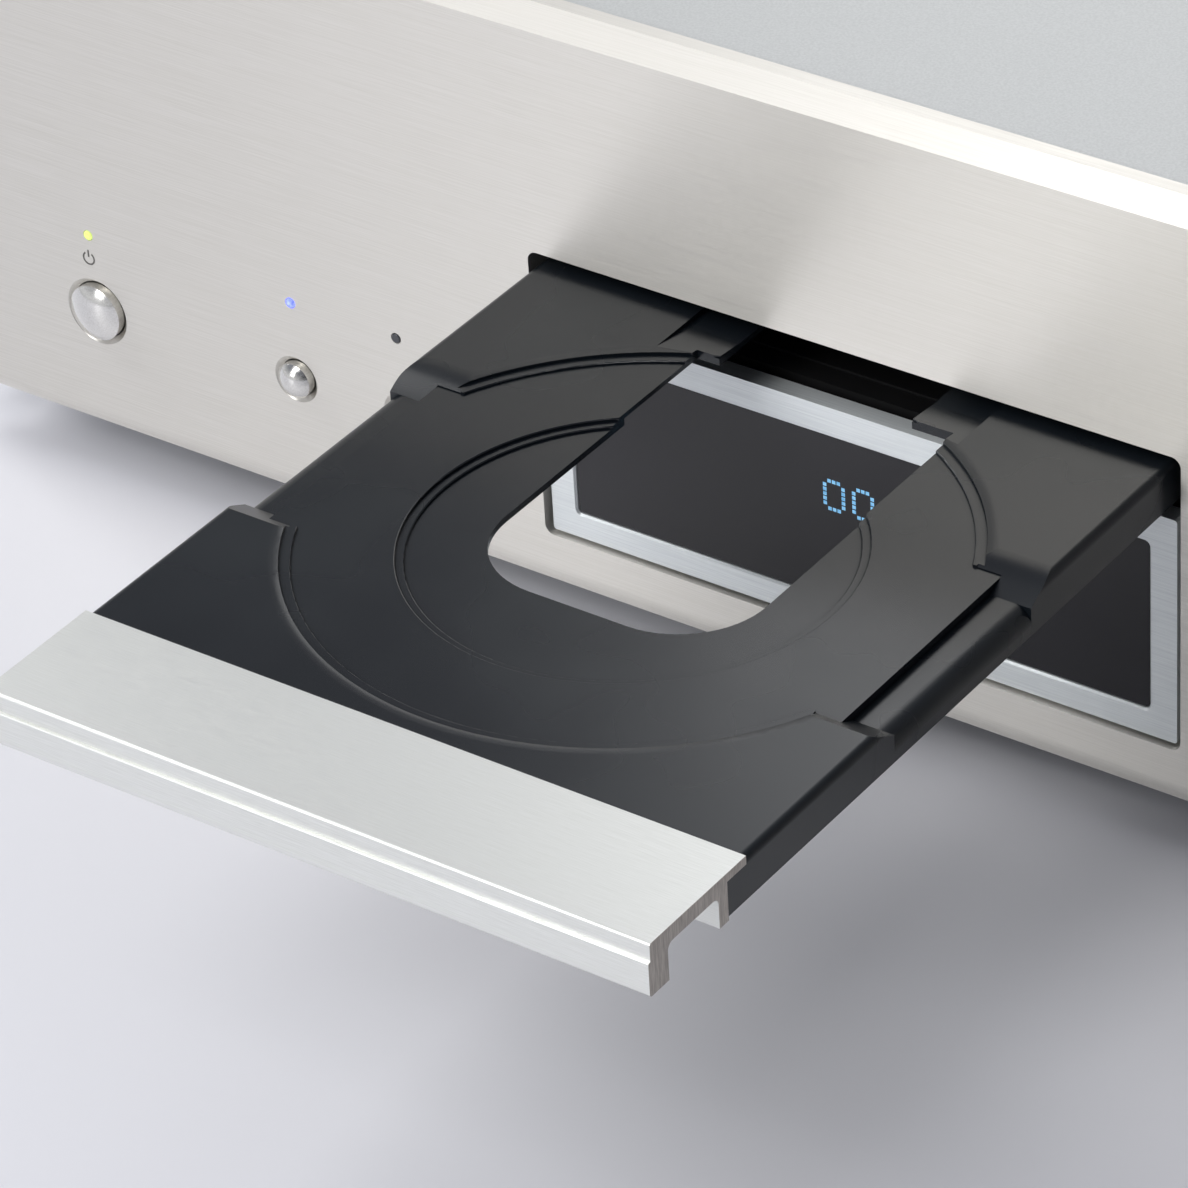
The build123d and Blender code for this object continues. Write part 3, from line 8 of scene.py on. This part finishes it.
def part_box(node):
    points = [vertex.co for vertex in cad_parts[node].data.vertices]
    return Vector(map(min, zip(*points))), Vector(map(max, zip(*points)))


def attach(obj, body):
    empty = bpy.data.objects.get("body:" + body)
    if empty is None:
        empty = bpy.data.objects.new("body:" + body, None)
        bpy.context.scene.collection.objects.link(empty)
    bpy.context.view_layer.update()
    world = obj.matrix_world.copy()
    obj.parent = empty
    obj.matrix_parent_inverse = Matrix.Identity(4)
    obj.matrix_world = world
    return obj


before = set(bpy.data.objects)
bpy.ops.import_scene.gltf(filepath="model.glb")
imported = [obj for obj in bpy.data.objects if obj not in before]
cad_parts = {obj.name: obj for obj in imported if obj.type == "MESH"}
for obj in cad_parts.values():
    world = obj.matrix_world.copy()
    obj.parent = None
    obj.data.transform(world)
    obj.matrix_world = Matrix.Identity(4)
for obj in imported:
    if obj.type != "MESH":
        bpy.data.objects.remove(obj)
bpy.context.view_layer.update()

MM = 0.001

# Camera, fitted to the straight edges and the circles of the photograph
CAMERA_PLACE = (0.537405, -0.880938, 0.686184)
CAMERA_AZIMUTH = 36.966
CAMERA_ELEVATION = 34.153
CAMERA_ROLL = -3.509
CAMERA_LENS = 191.46
CAMERA_SENSOR = 36

# Places on the front, in metres, as the CAD has them
PANEL_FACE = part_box("front_panel")[0].y
WINDOW_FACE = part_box("display_window")[0].y
LIP_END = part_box("tray_lip")[1].x
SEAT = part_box("tray")[1].z - 1.2 * MM
LOW_ROW = SEAT - 43.5 * MM
HIGH_ROW = SEAT - 12.0 * MM
LEFT_COLUMN = 110.0 * MM
MIDDLE_COLUMN = 140.0 * MM
RIGHT_COLUMN = 170.0 * MM
PRINT_PROUD = 0.03 * MM

# Heights and limits, in millimetres, where one piece changes its material
BOARD_TOP = 26.7
SHELLS_FROM_Y = 234.5
COAXIAL_FROM_X = 41.0
LEFT_FROM_X = 141.0
RIGHT_FROM_X = 166.0

# A colour mix has several sockets of one name, so its factor, two colours and result go by number.
MIX_FACTOR, MIX_FIRST, MIX_SECOND, MIX_RESULT = 0, 6, 7, 2


def paint(code):
    """Linear RGBA of an sRGB hex colour."""
    parts = [int(code[i:i + 2], 16) / 255 for i in (1, 3, 5)]
    return tuple(c / 12.92 if c <= 0.04045 else ((c + 0.055) / 1.055) ** 2.4 for c in parts) + (1.0,)


def add_node(tree, kind, output, sockets=None, settings=None):
    """Adds a node and returns one of its outputs.

    A socket takes a value, a hex colour or another node's output.
    """
    node = tree.nodes.new(kind)
    for name, value in (settings or {}).items():
        setattr(node, name, value)
    for name, value in (sockets or {}).items():
        if isinstance(value, bpy.types.NodeSocket):
            tree.links.new(value, node.inputs[name])
        else:
            node.inputs[name].default_value = paint(value) if isinstance(value, str) else value
    return node.outputs[output]


def start_material(name, roughness, metallic=0.0):
    """New material, with its tree, its surface shader and the object's own coordinates in metres."""
    made = bpy.data.materials.new(name)
    made.use_nodes = True
    tree = made.node_tree
    surface = tree.nodes["Principled BSDF"]
    surface.inputs["Roughness"].default_value = roughness
    surface.inputs["Metallic"].default_value = metallic
    return made, tree, surface, add_node(tree, "ShaderNodeTexCoord", "Object")


def speckle(tree, here, size_mm, detail, stretch=(1.0, 1.0, 1.0)):
    """Noise whose grains are size_mm across, drawn longer on an axis whose stretch is over 1."""
    scale = tuple(1 / (size_mm * MM * along) for along in stretch)
    scaled = add_node(tree, "ShaderNodeMapping", "Vector", {"Vector": here, "Scale": scale})
    return add_node(tree, "ShaderNodeTexNoise", "Fac", {
        "Vector": scaled, "Scale": 1.0, "Detail": detail, "Roughness": 0.6,
    })


def blend(tree, pattern, low, high, first, second, share=1.0):
    """Colour that goes from first to second, or a share of the way, as the pattern goes from low to high."""
    amount = add_node(tree, "ShaderNodeMapRange", "Result", {
        "Value": pattern, "From Min": low, "From Max": high, "To Min": 0.0, "To Max": share,
    })
    return add_node(tree, "ShaderNodeMix", MIX_RESULT, {
        MIX_FACTOR: amount, MIX_FIRST: first, MIX_SECOND: second,
    }, {"data_type": "RGBA"})


def split(tree, here, axis, limit_mm, below, above):
    """Colour that changes where the coordinate on the axis passes the limit."""
    passed = add_node(tree, "ShaderNodeMath", "Value", {
        0: add_node(tree, "ShaderNodeSeparateXYZ", axis, {"Vector": here}), 1: limit_mm * MM,
    }, {"operation": "GREATER_THAN"})
    return add_node(tree, "ShaderNodeMix", MIX_RESULT, {
        MIX_FACTOR: passed, MIX_FIRST: below, MIX_SECOND: above,
    }, {"data_type": "RGBA"})


def dress(tree, surface, colour, height=None, strength=0.0, depth_mm=0.0):
    """Gives the surface shader its colour, and its relief where there is a height."""
    tree.links.new(colour, surface.inputs["Base Color"])
    if height:
        raised = add_node(tree, "ShaderNodeBump", "Normal", {
            "Height": height, "Strength": strength, "Distance": depth_mm * MM,
        })
        tree.links.new(raised, surface.inputs["Normal"])


def brushed_metal(name, light, dark, roughness, line_mm, stretch, depth, drawn_out=0.0):
    """Metal brushed along one axis: streaks in its colour, its roughness and its relief.

    Above 0, drawn_out smears reflections across lines that run along X, as a hairline does. The small
    part added along Y keeps the tangent from vanishing on faces that look along X.
    """
    made, tree, surface, here = start_material(name, roughness, 1.0)
    if drawn_out:
        surface.inputs["Anisotropic"].default_value = drawn_out
        across = add_node(tree, "ShaderNodeVectorMath", "Vector", {
            0: add_node(tree, "ShaderNodeNewGeometry", "Normal"), 1: (1.0, 0.0, 0.0),
        }, {"operation": "CROSS_PRODUCT"})
        tangent = add_node(tree, "ShaderNodeVectorMath", "Vector", {
            0: across, 1: (0.0, 0.02, 0.0),
        }, {"operation": "ADD"})
        tree.links.new(tangent, surface.inputs["Tangent"])
    lines = speckle(tree, here, line_mm, 4.0, stretch)
    drift = speckle(tree, here, 60.0, 1.0)
    streaks = blend(tree, lines, 0.3, 0.7, dark, light)
    dress(tree, surface, blend(tree, drift, 0.35, 0.65, streaks, light, 0.18), lines, depth, 0.02)
    tree.links.new(add_node(tree, "ShaderNodeMapRange", "Result", {
        "Value": lines, "From Min": 0.3, "From Max": 0.7,
        "To Min": roughness + 0.05, "To Max": roughness - 0.05,
    }), surface.inputs["Roughness"])
    return made


def moulded_plastic(name, colour, worn, roughness, grain_mm, depth=0.2):
    """Plastic moulded in a spark-textured tool: fine even grain, and slow drifts in gloss."""
    made, tree, surface, here = start_material(name, roughness)
    drift = speckle(tree, here, 40.0, 2.0)
    tone = blend(tree, drift, 0.3, 0.7, colour, worn)
    dress(tree, surface, tone, speckle(tree, here, grain_mm, 2.0), depth, 0.02)
    tree.links.new(add_node(tree, "ShaderNodeMapRange", "Result", {
        "Value": drift, "From Min": 0.3, "From Max": 0.7,
        "To Min": roughness - 0.03, "To Max": roughness + 0.03,
    }), surface.inputs["Roughness"])
    return made


def textured_paint(name, colour, shade, roughness, grain_mm):
    """Paint with a fine orange-peel texture, sprayed and baked on sheet steel."""
    made, tree, surface, here = start_material(name, roughness)
    peel = speckle(tree, here, grain_mm, 2.0)
    dress(tree, surface, blend(tree, peel, 0.35, 0.65, shade, colour), peel, 0.35, 0.05)
    return made


def glowing(name, core, glow, strength):
    """Light pipe or display segment that glows by itself, brighter in its middle grain."""
    made, tree, surface, here = start_material(name, 0.3)
    colour = blend(tree, speckle(tree, here, 1.0, 1.0), 0.3, 0.7, core, glow)
    dress(tree, surface, colour)
    tree.links.new(colour, surface.inputs["Emission Color"])
    surface.inputs["Emission Strength"].default_value = strength
    return made


# Anodised aluminium extrusion with a fine hairline along its width: warm silver with soft reflections.
# The lines are 0.05 mm apart on the metal and drawn at 0.22 mm, so that they show.
front_metal = brushed_metal(
    "front_panel_anodised_aluminium", "#e2dfd9", "#d9d6cf", 0.46, 0.22, (90, 1, 1), 0.12, 0.8
)

# Anodised aluminium brushed along the tray's width: paler and cooler than the panel, with clear streaks.
lip_metal = brushed_metal(
    "tray_lip_brushed_aluminium", "#e6e7e4", "#d9dad6", 0.42, 0.18, (40, 1, 1), 0.25, 0.5
)

# The lip's two ends are sawn across: darker, dull and warm.
tree = lip_metal.node_tree
surface = tree.nodes["Principled BSDF"]
here = add_node(tree, "ShaderNodeTexCoord", "Object")
from_middle = add_node(tree, "ShaderNodeMath", "Value", {
    0: add_node(tree, "ShaderNodeSeparateXYZ", "X", {"Vector": here}),
}, {"operation": "ABSOLUTE"})
sawn = add_node(tree, "ShaderNodeMath", "Value", {
    0: from_middle, 1: LIP_END - 0.02 * MM,
}, {"operation": "GREATER_THAN"})
saw_lines = speckle(tree, here, 0.3, 2.0, (1, 1, 12))
brushed = surface.inputs["Base Color"].links[0].from_socket
ends = blend(tree, saw_lines, 0.35, 0.65, "#a8a098", "#c9c2b9")
dress(tree, surface, blend(tree, sawn, 0.0, 1.0, brushed, ends))
tree.links.new(add_node(tree, "ShaderNodeMapRange", "Result", {
    "Value": sawn, "From Min": 0.0, "From Max": 1.0, "To Min": 1.0, "To Max": 0.35,
}), surface.inputs["Metallic"])

# Aluminium brushed along the frame around the display: cool, a little darker than the panel.
bezel_metal = brushed_metal(
    "bezel_brushed_aluminium", "#e8ecec", "#d9dddf", 0.55, 0.22, (70, 1, 1), 0.2, 0.6
)

# Turned and polished aluminium: a bright dome with faint rings that hold sharp reflections.
button_metal = brushed_metal("button_turned_aluminium", "#e4e3e0", "#cfcdc9", 0.16, 0.3, (1, 12, 1), 0.1)

# Zinc-plated sheet steel: dull grey with soft cloudy patches.
sheet_steel = brushed_metal("zinc_plated_steel", "#b9bbbd", "#a3a6a9", 0.38, 1.6, (2, 1, 1), 0.1)

# Blackened steel screws: dark, with a dull shine on the heads.
screw_steel = brushed_metal("blackened_screw_steel", "#4a4a4c", "#37373a", 0.35, 0.4, (1, 1, 1), 0.1)

# Plated steel of motor cans and the sled: even grey with a soft shine.
motor_steel = brushed_metal("plated_motor_steel", "#b4b5b7", "#9c9da0", 0.3, 0.8, (1, 1, 3), 0.1)

# Ground steel rods: almost a mirror, with fine rings around them.
rod_steel = brushed_metal("ground_rod_steel", "#cfd0d3", "#bcbec1", 0.12, 0.2, (1, 1, 1), 0.05)

# Varnished core laminations: dark sheets stacked through the depth.
core_steel = brushed_metal("varnished_core_steel", "#5a5a5e", "#3f3f43", 0.45, 0.5, (60, 1, 60), 0.4)

# Extruded aluminium heat sink, unpolished: grey with drawing lines along the fins.
sink_metal = brushed_metal("extruded_sink_aluminium", "#8f9194", "#7c7e82", 0.42, 0.4, (1, 1, 40), 0.3)

# Gold plating on brass sockets: warm and smooth.
socket_gold = brushed_metal("gold_plated_brass", "#e0bd6a", "#cda852", 0.2, 0.4, (1, 6, 1), 0.05)

# Moulded ABS with a satin black finish: fine spark grain that spreads a broad soft highlight.
# The grain is about 0.05 mm on the part and drawn at 0.3 mm.
tray_plastic = moulded_plastic("tray_satin_abs", "#11151a", "#151a1f", 0.27, 0.3, 0.08)

# Painted shade: ambient occlusion turns down the tray's reflection in its inner corners, so the steps around
# the discs read as thin dark lines.
tree = tray_plastic.node_tree
corner_shade = add_node(tree, "ShaderNodeAmbientOcclusion", "AO", {"Distance": 1.2 * MM}, {
    "samples": 8, "only_local": True,
})
tree.links.new(add_node(tree, "ShaderNodeMapRange", "Result", {
    "Value": corner_shade, "From Min": 0.5, "From Max": 0.92, "To Min": 0.08, "To Max": 0.5,
}), tree.nodes["Principled BSDF"].inputs["Specular IOR Level"])

# Moulded black plastic around the slot and inside: deep black that takes little light.
slot_plastic = moulded_plastic("slot_matte_black_abs", "#0e0e0f", "#131314", 0.5, 0.4)

# Moulded foot plastic: dark grey with a coarse grain.
foot_plastic = moulded_plastic("foot_moulded_abs", "#1d1d1f", "#252527", 0.5, 0.6, 0.35)

# Moulded rubber pads: dead matte, nearly black.
pad_rubber = moulded_plastic("pad_moulded_rubber", "#141414", "#1b1b1b", 0.85, 0.5, 0.4)

# Natural acetal, moulded: milky white with a faint waxy shine.
gear_acetal = moulded_plastic("gear_moulded_acetal", "#e9e7df", "#e1ded4", 0.35, 0.5, 0.05)

# Turntable and puck in moulded polycarbonate: charcoal and smooth.
puck_plastic = moulded_plastic("puck_moulded_polycarbonate", "#2b2b2e", "#333336", 0.4, 0.3, 0.1)

# Vinyl flat cable: pale grey with a fine grain.
ribbon_vinyl = moulded_plastic("ribbon_vinyl", "#dcdcd8", "#d2d2cd", 0.45, 0.6, 0.3)

# Texture paint on the folded steel cover: silver with fine peel that breaks up its reflections.
cover_paint = textured_paint("cover_texture_paint", "#c6c8c7", "#bcbebd", 0.42, 0.5)

# Texture paint on the rear sheet: black with the same fine peel.
rear_paint = textured_paint("rear_texture_paint", "#232325", "#19191b", 0.5, 0.5)

# Cast acrylic, smoked: near black and polished, so that it mirrors what stands before it.
window_acrylic, tree, surface, here = start_material("window_smoked_acrylic", 0.06)
surface.inputs["IOR"].default_value = 1.49
tone = blend(tree, speckle(tree, here, 50.0, 1.0), 0.35, 0.65, "#19181b", "#201f23")
dress(tree, surface, tone, speckle(tree, here, 30.0, 1.0), 0.02, 0.2)

# Display glass behind the window: a dark blue-green cell.
display_glass, tree, surface, here = start_material("display_cell_glass", 0.1)
dress(tree, surface, blend(tree, speckle(tree, here, 2.0, 1.0), 0.3, 0.7, "#0c1416", "#121d20"))

# Coated lens glass: violet sheen over a dark core.
lens_glass, tree, surface, here = start_material("pickup_coated_glass", 0.05)
surface.inputs["Coat Weight"].default_value = 0.6
dress(tree, surface, blend(tree, speckle(tree, here, 3.0, 1.0), 0.3, 0.7, "#3b2f66", "#22345e"))

# Solder mask on glass-epoxy boards: green below, with black moulded chips standing on it.
board_mask, tree, surface, here = start_material("board_solder_mask", 0.4)
mask = blend(tree, speckle(tree, here, 2.5, 3.0), 0.4, 0.6, "#1d5a34", "#2a7044")
tone = split(tree, here, "Z", BOARD_TOP, mask, "#161618")
dress(tree, surface, tone, speckle(tree, here, 1.2, 2.0), 0.2, 0.05)

# Key boards behind the front: the same mask in phenolic brown.
key_board = moulded_plastic("key_board_phenolic", "#6a4a2c", "#7b5937", 0.5, 0.8)

# Polyester tape over copper windings: amber, with faint wraps around the coil.
coil_tape, tree, surface, here = start_material("winding_polyester_tape", 0.3)
wraps = speckle(tree, here, 1.2, 2.0, (30, 30, 1))
dress(tree, surface, blend(tree, wraps, 0.35, 0.65, "#b98f1f", "#d8b03a"), wraps, 0.3, 0.1)

# Capacitor cans in dark blue shrink sleeve, with faint upright creases.
capacitor_sleeve, tree, surface, here = start_material("capacitor_shrink_sleeve", 0.25)
tone = blend(tree, speckle(tree, here, 3.0, 2.0), 0.3, 0.7, "#141a33", "#1c2342")
dress(tree, surface, tone, speckle(tree, here, 4.0, 1.0, (1, 1, 8)), 0.1, 0.1)

# Light pipes in clear acrylic, lit from behind: green-yellow, blue, and one that is off.
power_glow = glowing("power_lamp_lit_acrylic", "#b9c866", "#c8dc7c", 0.9)
layer_glow = glowing("layer_lamp_lit_acrylic", "#4a55ff", "#7a86ff", 2.2)
direct_dark = moulded_plastic("direct_lamp_unlit_acrylic", "#3a3c40", "#44464a", 0.2, 0.5, 0.05)

# Vacuum-fluorescent digits: pale blue dots on the smoked window's face.
digit_glow = glowing("display_digit_phosphor", "#5f9fca", "#86bfe2", 0.55)

# Silk-screen ink on the panel: a flat dark grey a few hundredths of a millimetre thick.
panel_ink = moulded_plastic("panel_silk_screen_ink", "#55534f", "#605e5a", 0.6, 0.3, 0.1)

# Socket shells in moulded nylon: coloured by their channel, with black bodies inside the case.
socket_nylon, tree, surface, here = start_material("socket_moulded_nylon", 0.4)
black = blend(tree, speckle(tree, here, 0.6, 2.0), 0.3, 0.7, "#121213", "#1b1b1d")
shells = split(tree, here, "X", RIGHT_FROM_X, "#d8d8d4", "#b3242a")
shells = split(tree, here, "X", LEFT_FROM_X, "#d87a2a", shells)
shells = split(tree, here, "X", COAXIAL_FROM_X, black, shells)
tone = split(tree, here, "Y", SHELLS_FROM_Y, black, shells)
dress(tree, surface, tone, speckle(tree, here, 0.6, 2.0), 0.15, 0.02)

NODE_FINISHES = {
    front_metal: ["front_panel"],
    lip_metal: ["tray_lip"],
    bezel_metal: ["display_bezel"],
    window_acrylic: ["display_window"],
    slot_plastic: [
        "display_holder", "slot_liner", "mech_base", "traverse_frame", "lens_holder", "mains_inlet",
    ],
    display_glass: ["display_module"],
    button_metal: [
        "power_button", "layer_button", "direct_button", "open_button", "play_button",
        "pause_button", "stop_button", "skip_back_button", "skip_forward_button",
    ],
    power_glow: ["power_lamp"],
    layer_glow: ["layer_lamp"],
    direct_dark: ["direct_lamp"],
    sheet_steel: ["front_subframe", "bottom_pan", "mech_brackets", "clamp_bridge"],
    key_board: ["control_boards"],
    foot_plastic: ["feet"],
    pad_rubber: ["foot_pads", "drive_belt"],
    rear_paint: ["rear_panel"],
    socket_gold: ["socket_contacts"],
    socket_nylon: ["socket_blocks"],
    cover_paint: ["top_cover"],
    screw_steel: ["case_screws", "lip_screws"],
    tray_plastic: ["tray"],
    gear_acetal: ["drive_gear", "pulley_gear", "motor_pulley", "sled_gear", "sled_pinion", "cam_slider"],
    motor_steel: ["loading_motor", "spindle_motor", "pickup_sled", "sled_motor"],
    puck_plastic: ["clamp_puck", "turntable"],
    rod_steel: ["guide_rods"],
    lens_glass: ["objective_lens"],
    core_steel: ["transformer_cores"],
    coil_tape: ["transformer_windings"],
    board_mask: ["power_board", "audio_board", "servo_board"],
    capacitor_sleeve: ["capacitors"],
    sink_metal: ["heat_sink"],
    ribbon_vinyl: ["ribbon_cables"],
}
for finish, nodes in NODE_FINISHES.items():
    for node in nodes:
        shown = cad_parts[node]
        shown.data.materials.clear()
        shown.data.materials.append(finish)


def printed(name, shapes, finish, body, depth):
    """Thin flat piece from closed outlines in X and Z that face the front at the depth given."""
    form = bmesh.new()
    for outline in shapes:
        front = [form.verts.new((x, depth - PRINT_PROUD, z)) for x, z in outline]
        back = [form.verts.new((x, depth, z)) for x, z in outline]
        count = len(outline)
        form.faces.new(front)
        form.faces.new(list(reversed(back)))
        for i in range(count):
            j = (i + 1) % count
            form.faces.new((front[i], back[i], back[j], front[j]))
    bmesh.ops.recalc_face_normals(form, faces=form.faces)
    mesh = bpy.data.meshes.new(name)
    form.to_mesh(mesh)
    form.free()
    mesh.materials.append(finish)
    piece = bpy.data.objects.new(name, mesh)
    bpy.context.collection.objects.link(piece)
    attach(piece, body)


def ring_part(x, z, radius, width, start, end, steps=28):
    """Outline of part of a ring, from start to end in degrees."""
    angles = [math.radians(start + (end - start) * i / steps) for i in range(steps + 1)]
    inside = radius - width
    outer = [(x + radius * math.cos(a), z + radius * math.sin(a)) for a in angles]
    inner = [(x + inside * math.cos(a), z + inside * math.sin(a)) for a in reversed(angles)]
    return outer + inner


def bar(x, z, width, height):
    """Outline of an upright rectangle around a middle."""
    return [
        (x - width / 2, z - height / 2), (x + width / 2, z - height / 2),
        (x + width / 2, z + height / 2), (x - width / 2, z + height / 2),
    ]


def arrow(x, z, size, side):
    """Outline of a triangle that points right for side 1 and left for side -1."""
    base, tip = x - side * size / 2, x + side * size / 2
    return [(base, z - size / 2), (tip, z), (base, z + size / 2)]


# Standby symbol under the power lamp: an open ring with a bar through its gap
STANDBY_X = -177.5 * MM
STANDBY_Z = SEAT - 31.5 * MM
STANDBY_LINE = 0.35 * MM
printed("power_symbol", [
    ring_part(STANDBY_X, STANDBY_Z, 1.5 * MM, STANDBY_LINE, 125, 415),
    bar(STANDBY_X, STANDBY_Z + 1.1 * MM, STANDBY_LINE, 1.6 * MM),
], panel_ink, "case", PANEL_FACE)

# Transport symbols over the buttons on the right
SYMBOL = 3.2 * MM
SYMBOL_RISE = 10.5 * MM
SKIP_ARROW = 2.4 * MM
high = HIGH_ROW + SYMBOL_RISE
low = LOW_ROW + SYMBOL_RISE
symbols = {
    "open_symbol": [
        [
            (LEFT_COLUMN - 1.8 * MM, high - 0.3 * MM), (LEFT_COLUMN + 1.8 * MM, high - 0.3 * MM),
            (LEFT_COLUMN, high + 1.7 * MM),
        ],
        bar(LEFT_COLUMN, high - 1.1 * MM, 3.6 * MM, 0.7 * MM),
    ],
    "play_symbol": [arrow(MIDDLE_COLUMN, high + 1.2 * MM, SYMBOL, 1)],
    "pause_symbol": [bar(RIGHT_COLUMN + aside * MM, high, 0.9 * MM, SYMBOL) for aside in (-1.0, 1.0)],
    "stop_symbol": [bar(LEFT_COLUMN, low, 2.8 * MM, 2.8 * MM)],
}
for name, column, side in (("skip_back_symbol", MIDDLE_COLUMN, -1), ("skip_forward_symbol", RIGHT_COLUMN, 1)):
    symbols[name] = [
        arrow(column - side * 1.5 * MM, low, SKIP_ARROW, side),
        arrow(column + side * 1.1 * MM, low, SKIP_ARROW, side),
        bar(column + side * 2.7 * MM, low, 0.5 * MM, 2.6 * MM),
    ]
for name, shapes in symbols.items():
    printed(name, shapes, panel_ink, "case", PANEL_FACE)

# Display: two five-by-seven dot digits on the smoked window
ZERO_ROWS = ("01110", "10001", "10001", "10001", "10001", "10001", "01110")
DOT_PITCH = 1.0 * MM
DOT = 0.76 * MM
DIGIT_STEP = 6.3 * MM
FIRST_DIGIT_X = -6.3 * MM
DIGIT_TOP = SEAT - 27.0 * MM
dots = []
for digit in range(2):
    for row, line in enumerate(ZERO_ROWS):
        for column, lit in enumerate(line):
            if lit == "1":
                x = FIRST_DIGIT_X + digit * DIGIT_STEP + column * DOT_PITCH
                dots.append(bar(x, DIGIT_TOP - row * DOT_PITCH, DOT, DOT))
printed("display_digits", dots, digit_glow, "case", WINDOW_FACE)

# Floor: satin acrylic sheet, pale lilac white, that mirrors the case faintly
floor_acrylic, tree, surface, here = start_material("floor_satin_acrylic", 0.45)
dress(tree, surface, blend(tree, speckle(tree, here, 400.0, 1.0), 0.35, 0.65, "#e3e3e9", "#e8e8ed"))
bpy.ops.mesh.primitive_plane_add(size=12.0, location=(0, 0, 0))
floor = bpy.context.object
floor.name = "floor"
floor.data.materials.append(floor_acrylic)

# World: a plain room, dim overhead and at the right, and pale towards the horizon elsewhere
world = bpy.data.worlds.new("studio")
bpy.context.scene.world = world
world.use_nodes = True
tree = world.node_tree
direction = add_node(tree, "ShaderNodeTexCoord", "Generated")
height = add_node(tree, "ShaderNodeSeparateXYZ", "Z", {"Vector": direction})
rightwards = add_node(tree, "ShaderNodeSeparateXYZ", "X", {"Vector": direction})
room = blend(tree, height, 0.1, 0.5, "#f2f3f6", "#92959d")
background = tree.nodes["Background"]
tree.links.new(blend(tree, rightwards, -0.1, 0.9, room, "#6f7076"), background.inputs["Color"])
background.inputs["Strength"].default_value = 0.85


def soft_lamp(name, place, aim, width, height, power):
    """Rectangular area lamp that points at aim, seen in reflections but not by the camera."""
    lamp = bpy.data.lights.new(name, "AREA")
    lamp.shape = "RECTANGLE"
    lamp.size = width
    lamp.size_y = height
    lamp.energy = power
    holder = bpy.data.objects.new(name, lamp)
    holder.location = place
    holder.rotation_euler = (Vector(aim) - Vector(place)).to_track_quat("-Z", "Y").to_euler()
    holder.visible_camera = False
    bpy.context.collection.objects.link(holder)


# A low lamp behind the case, which the tray mirrors more towards its right, one at the front left, a large
# one at the left, and one high over the floor in front
soft_lamp("rear_softbox", (-0.115, 0.456, 0.45), (0.24, -0.015, 0.05), 0.5, 0.3, 1.2)
soft_lamp("front_left_softbox", (-0.44, -1.20, 0.75), (0, -0.1, 0.05), 0.4, 0.9, 7)
soft_lamp("left_softbox", (-1.5, -0.05, 1.3), (0, -0.1, 0.05), 1.0, 1.0, 18)
soft_lamp("front_high_softbox", (-0.15, -1.0, 1.3), (-0.05, -0.6, 0), 0.6, 0.6, 4)

# Camera
azimuth, elevation, roll = (math.radians(v) for v in (CAMERA_AZIMUTH, CAMERA_ELEVATION, CAMERA_ROLL))
back = Vector((
    math.sin(azimuth) * math.cos(elevation),
    -math.cos(azimuth) * math.cos(elevation),
    math.sin(elevation),
))
level = Vector((math.cos(azimuth), math.sin(azimuth), 0))
upright = level.cross(-back)
right = math.cos(roll) * level + math.sin(roll) * upright
up = math.cos(roll) * upright - math.sin(roll) * level
camera = bpy.data.objects.new("camera", bpy.data.cameras.new("camera"))
camera.data.lens = CAMERA_LENS
camera.data.sensor_width = CAMERA_SENSOR
camera.matrix_world = Matrix.Translation(CAMERA_PLACE) @ Matrix((right, up, back)).transposed().to_4x4()
bpy.context.collection.objects.link(camera)
bpy.context.scene.camera = camera
bpy.context.scene.view_settings.view_transform = "Standard"
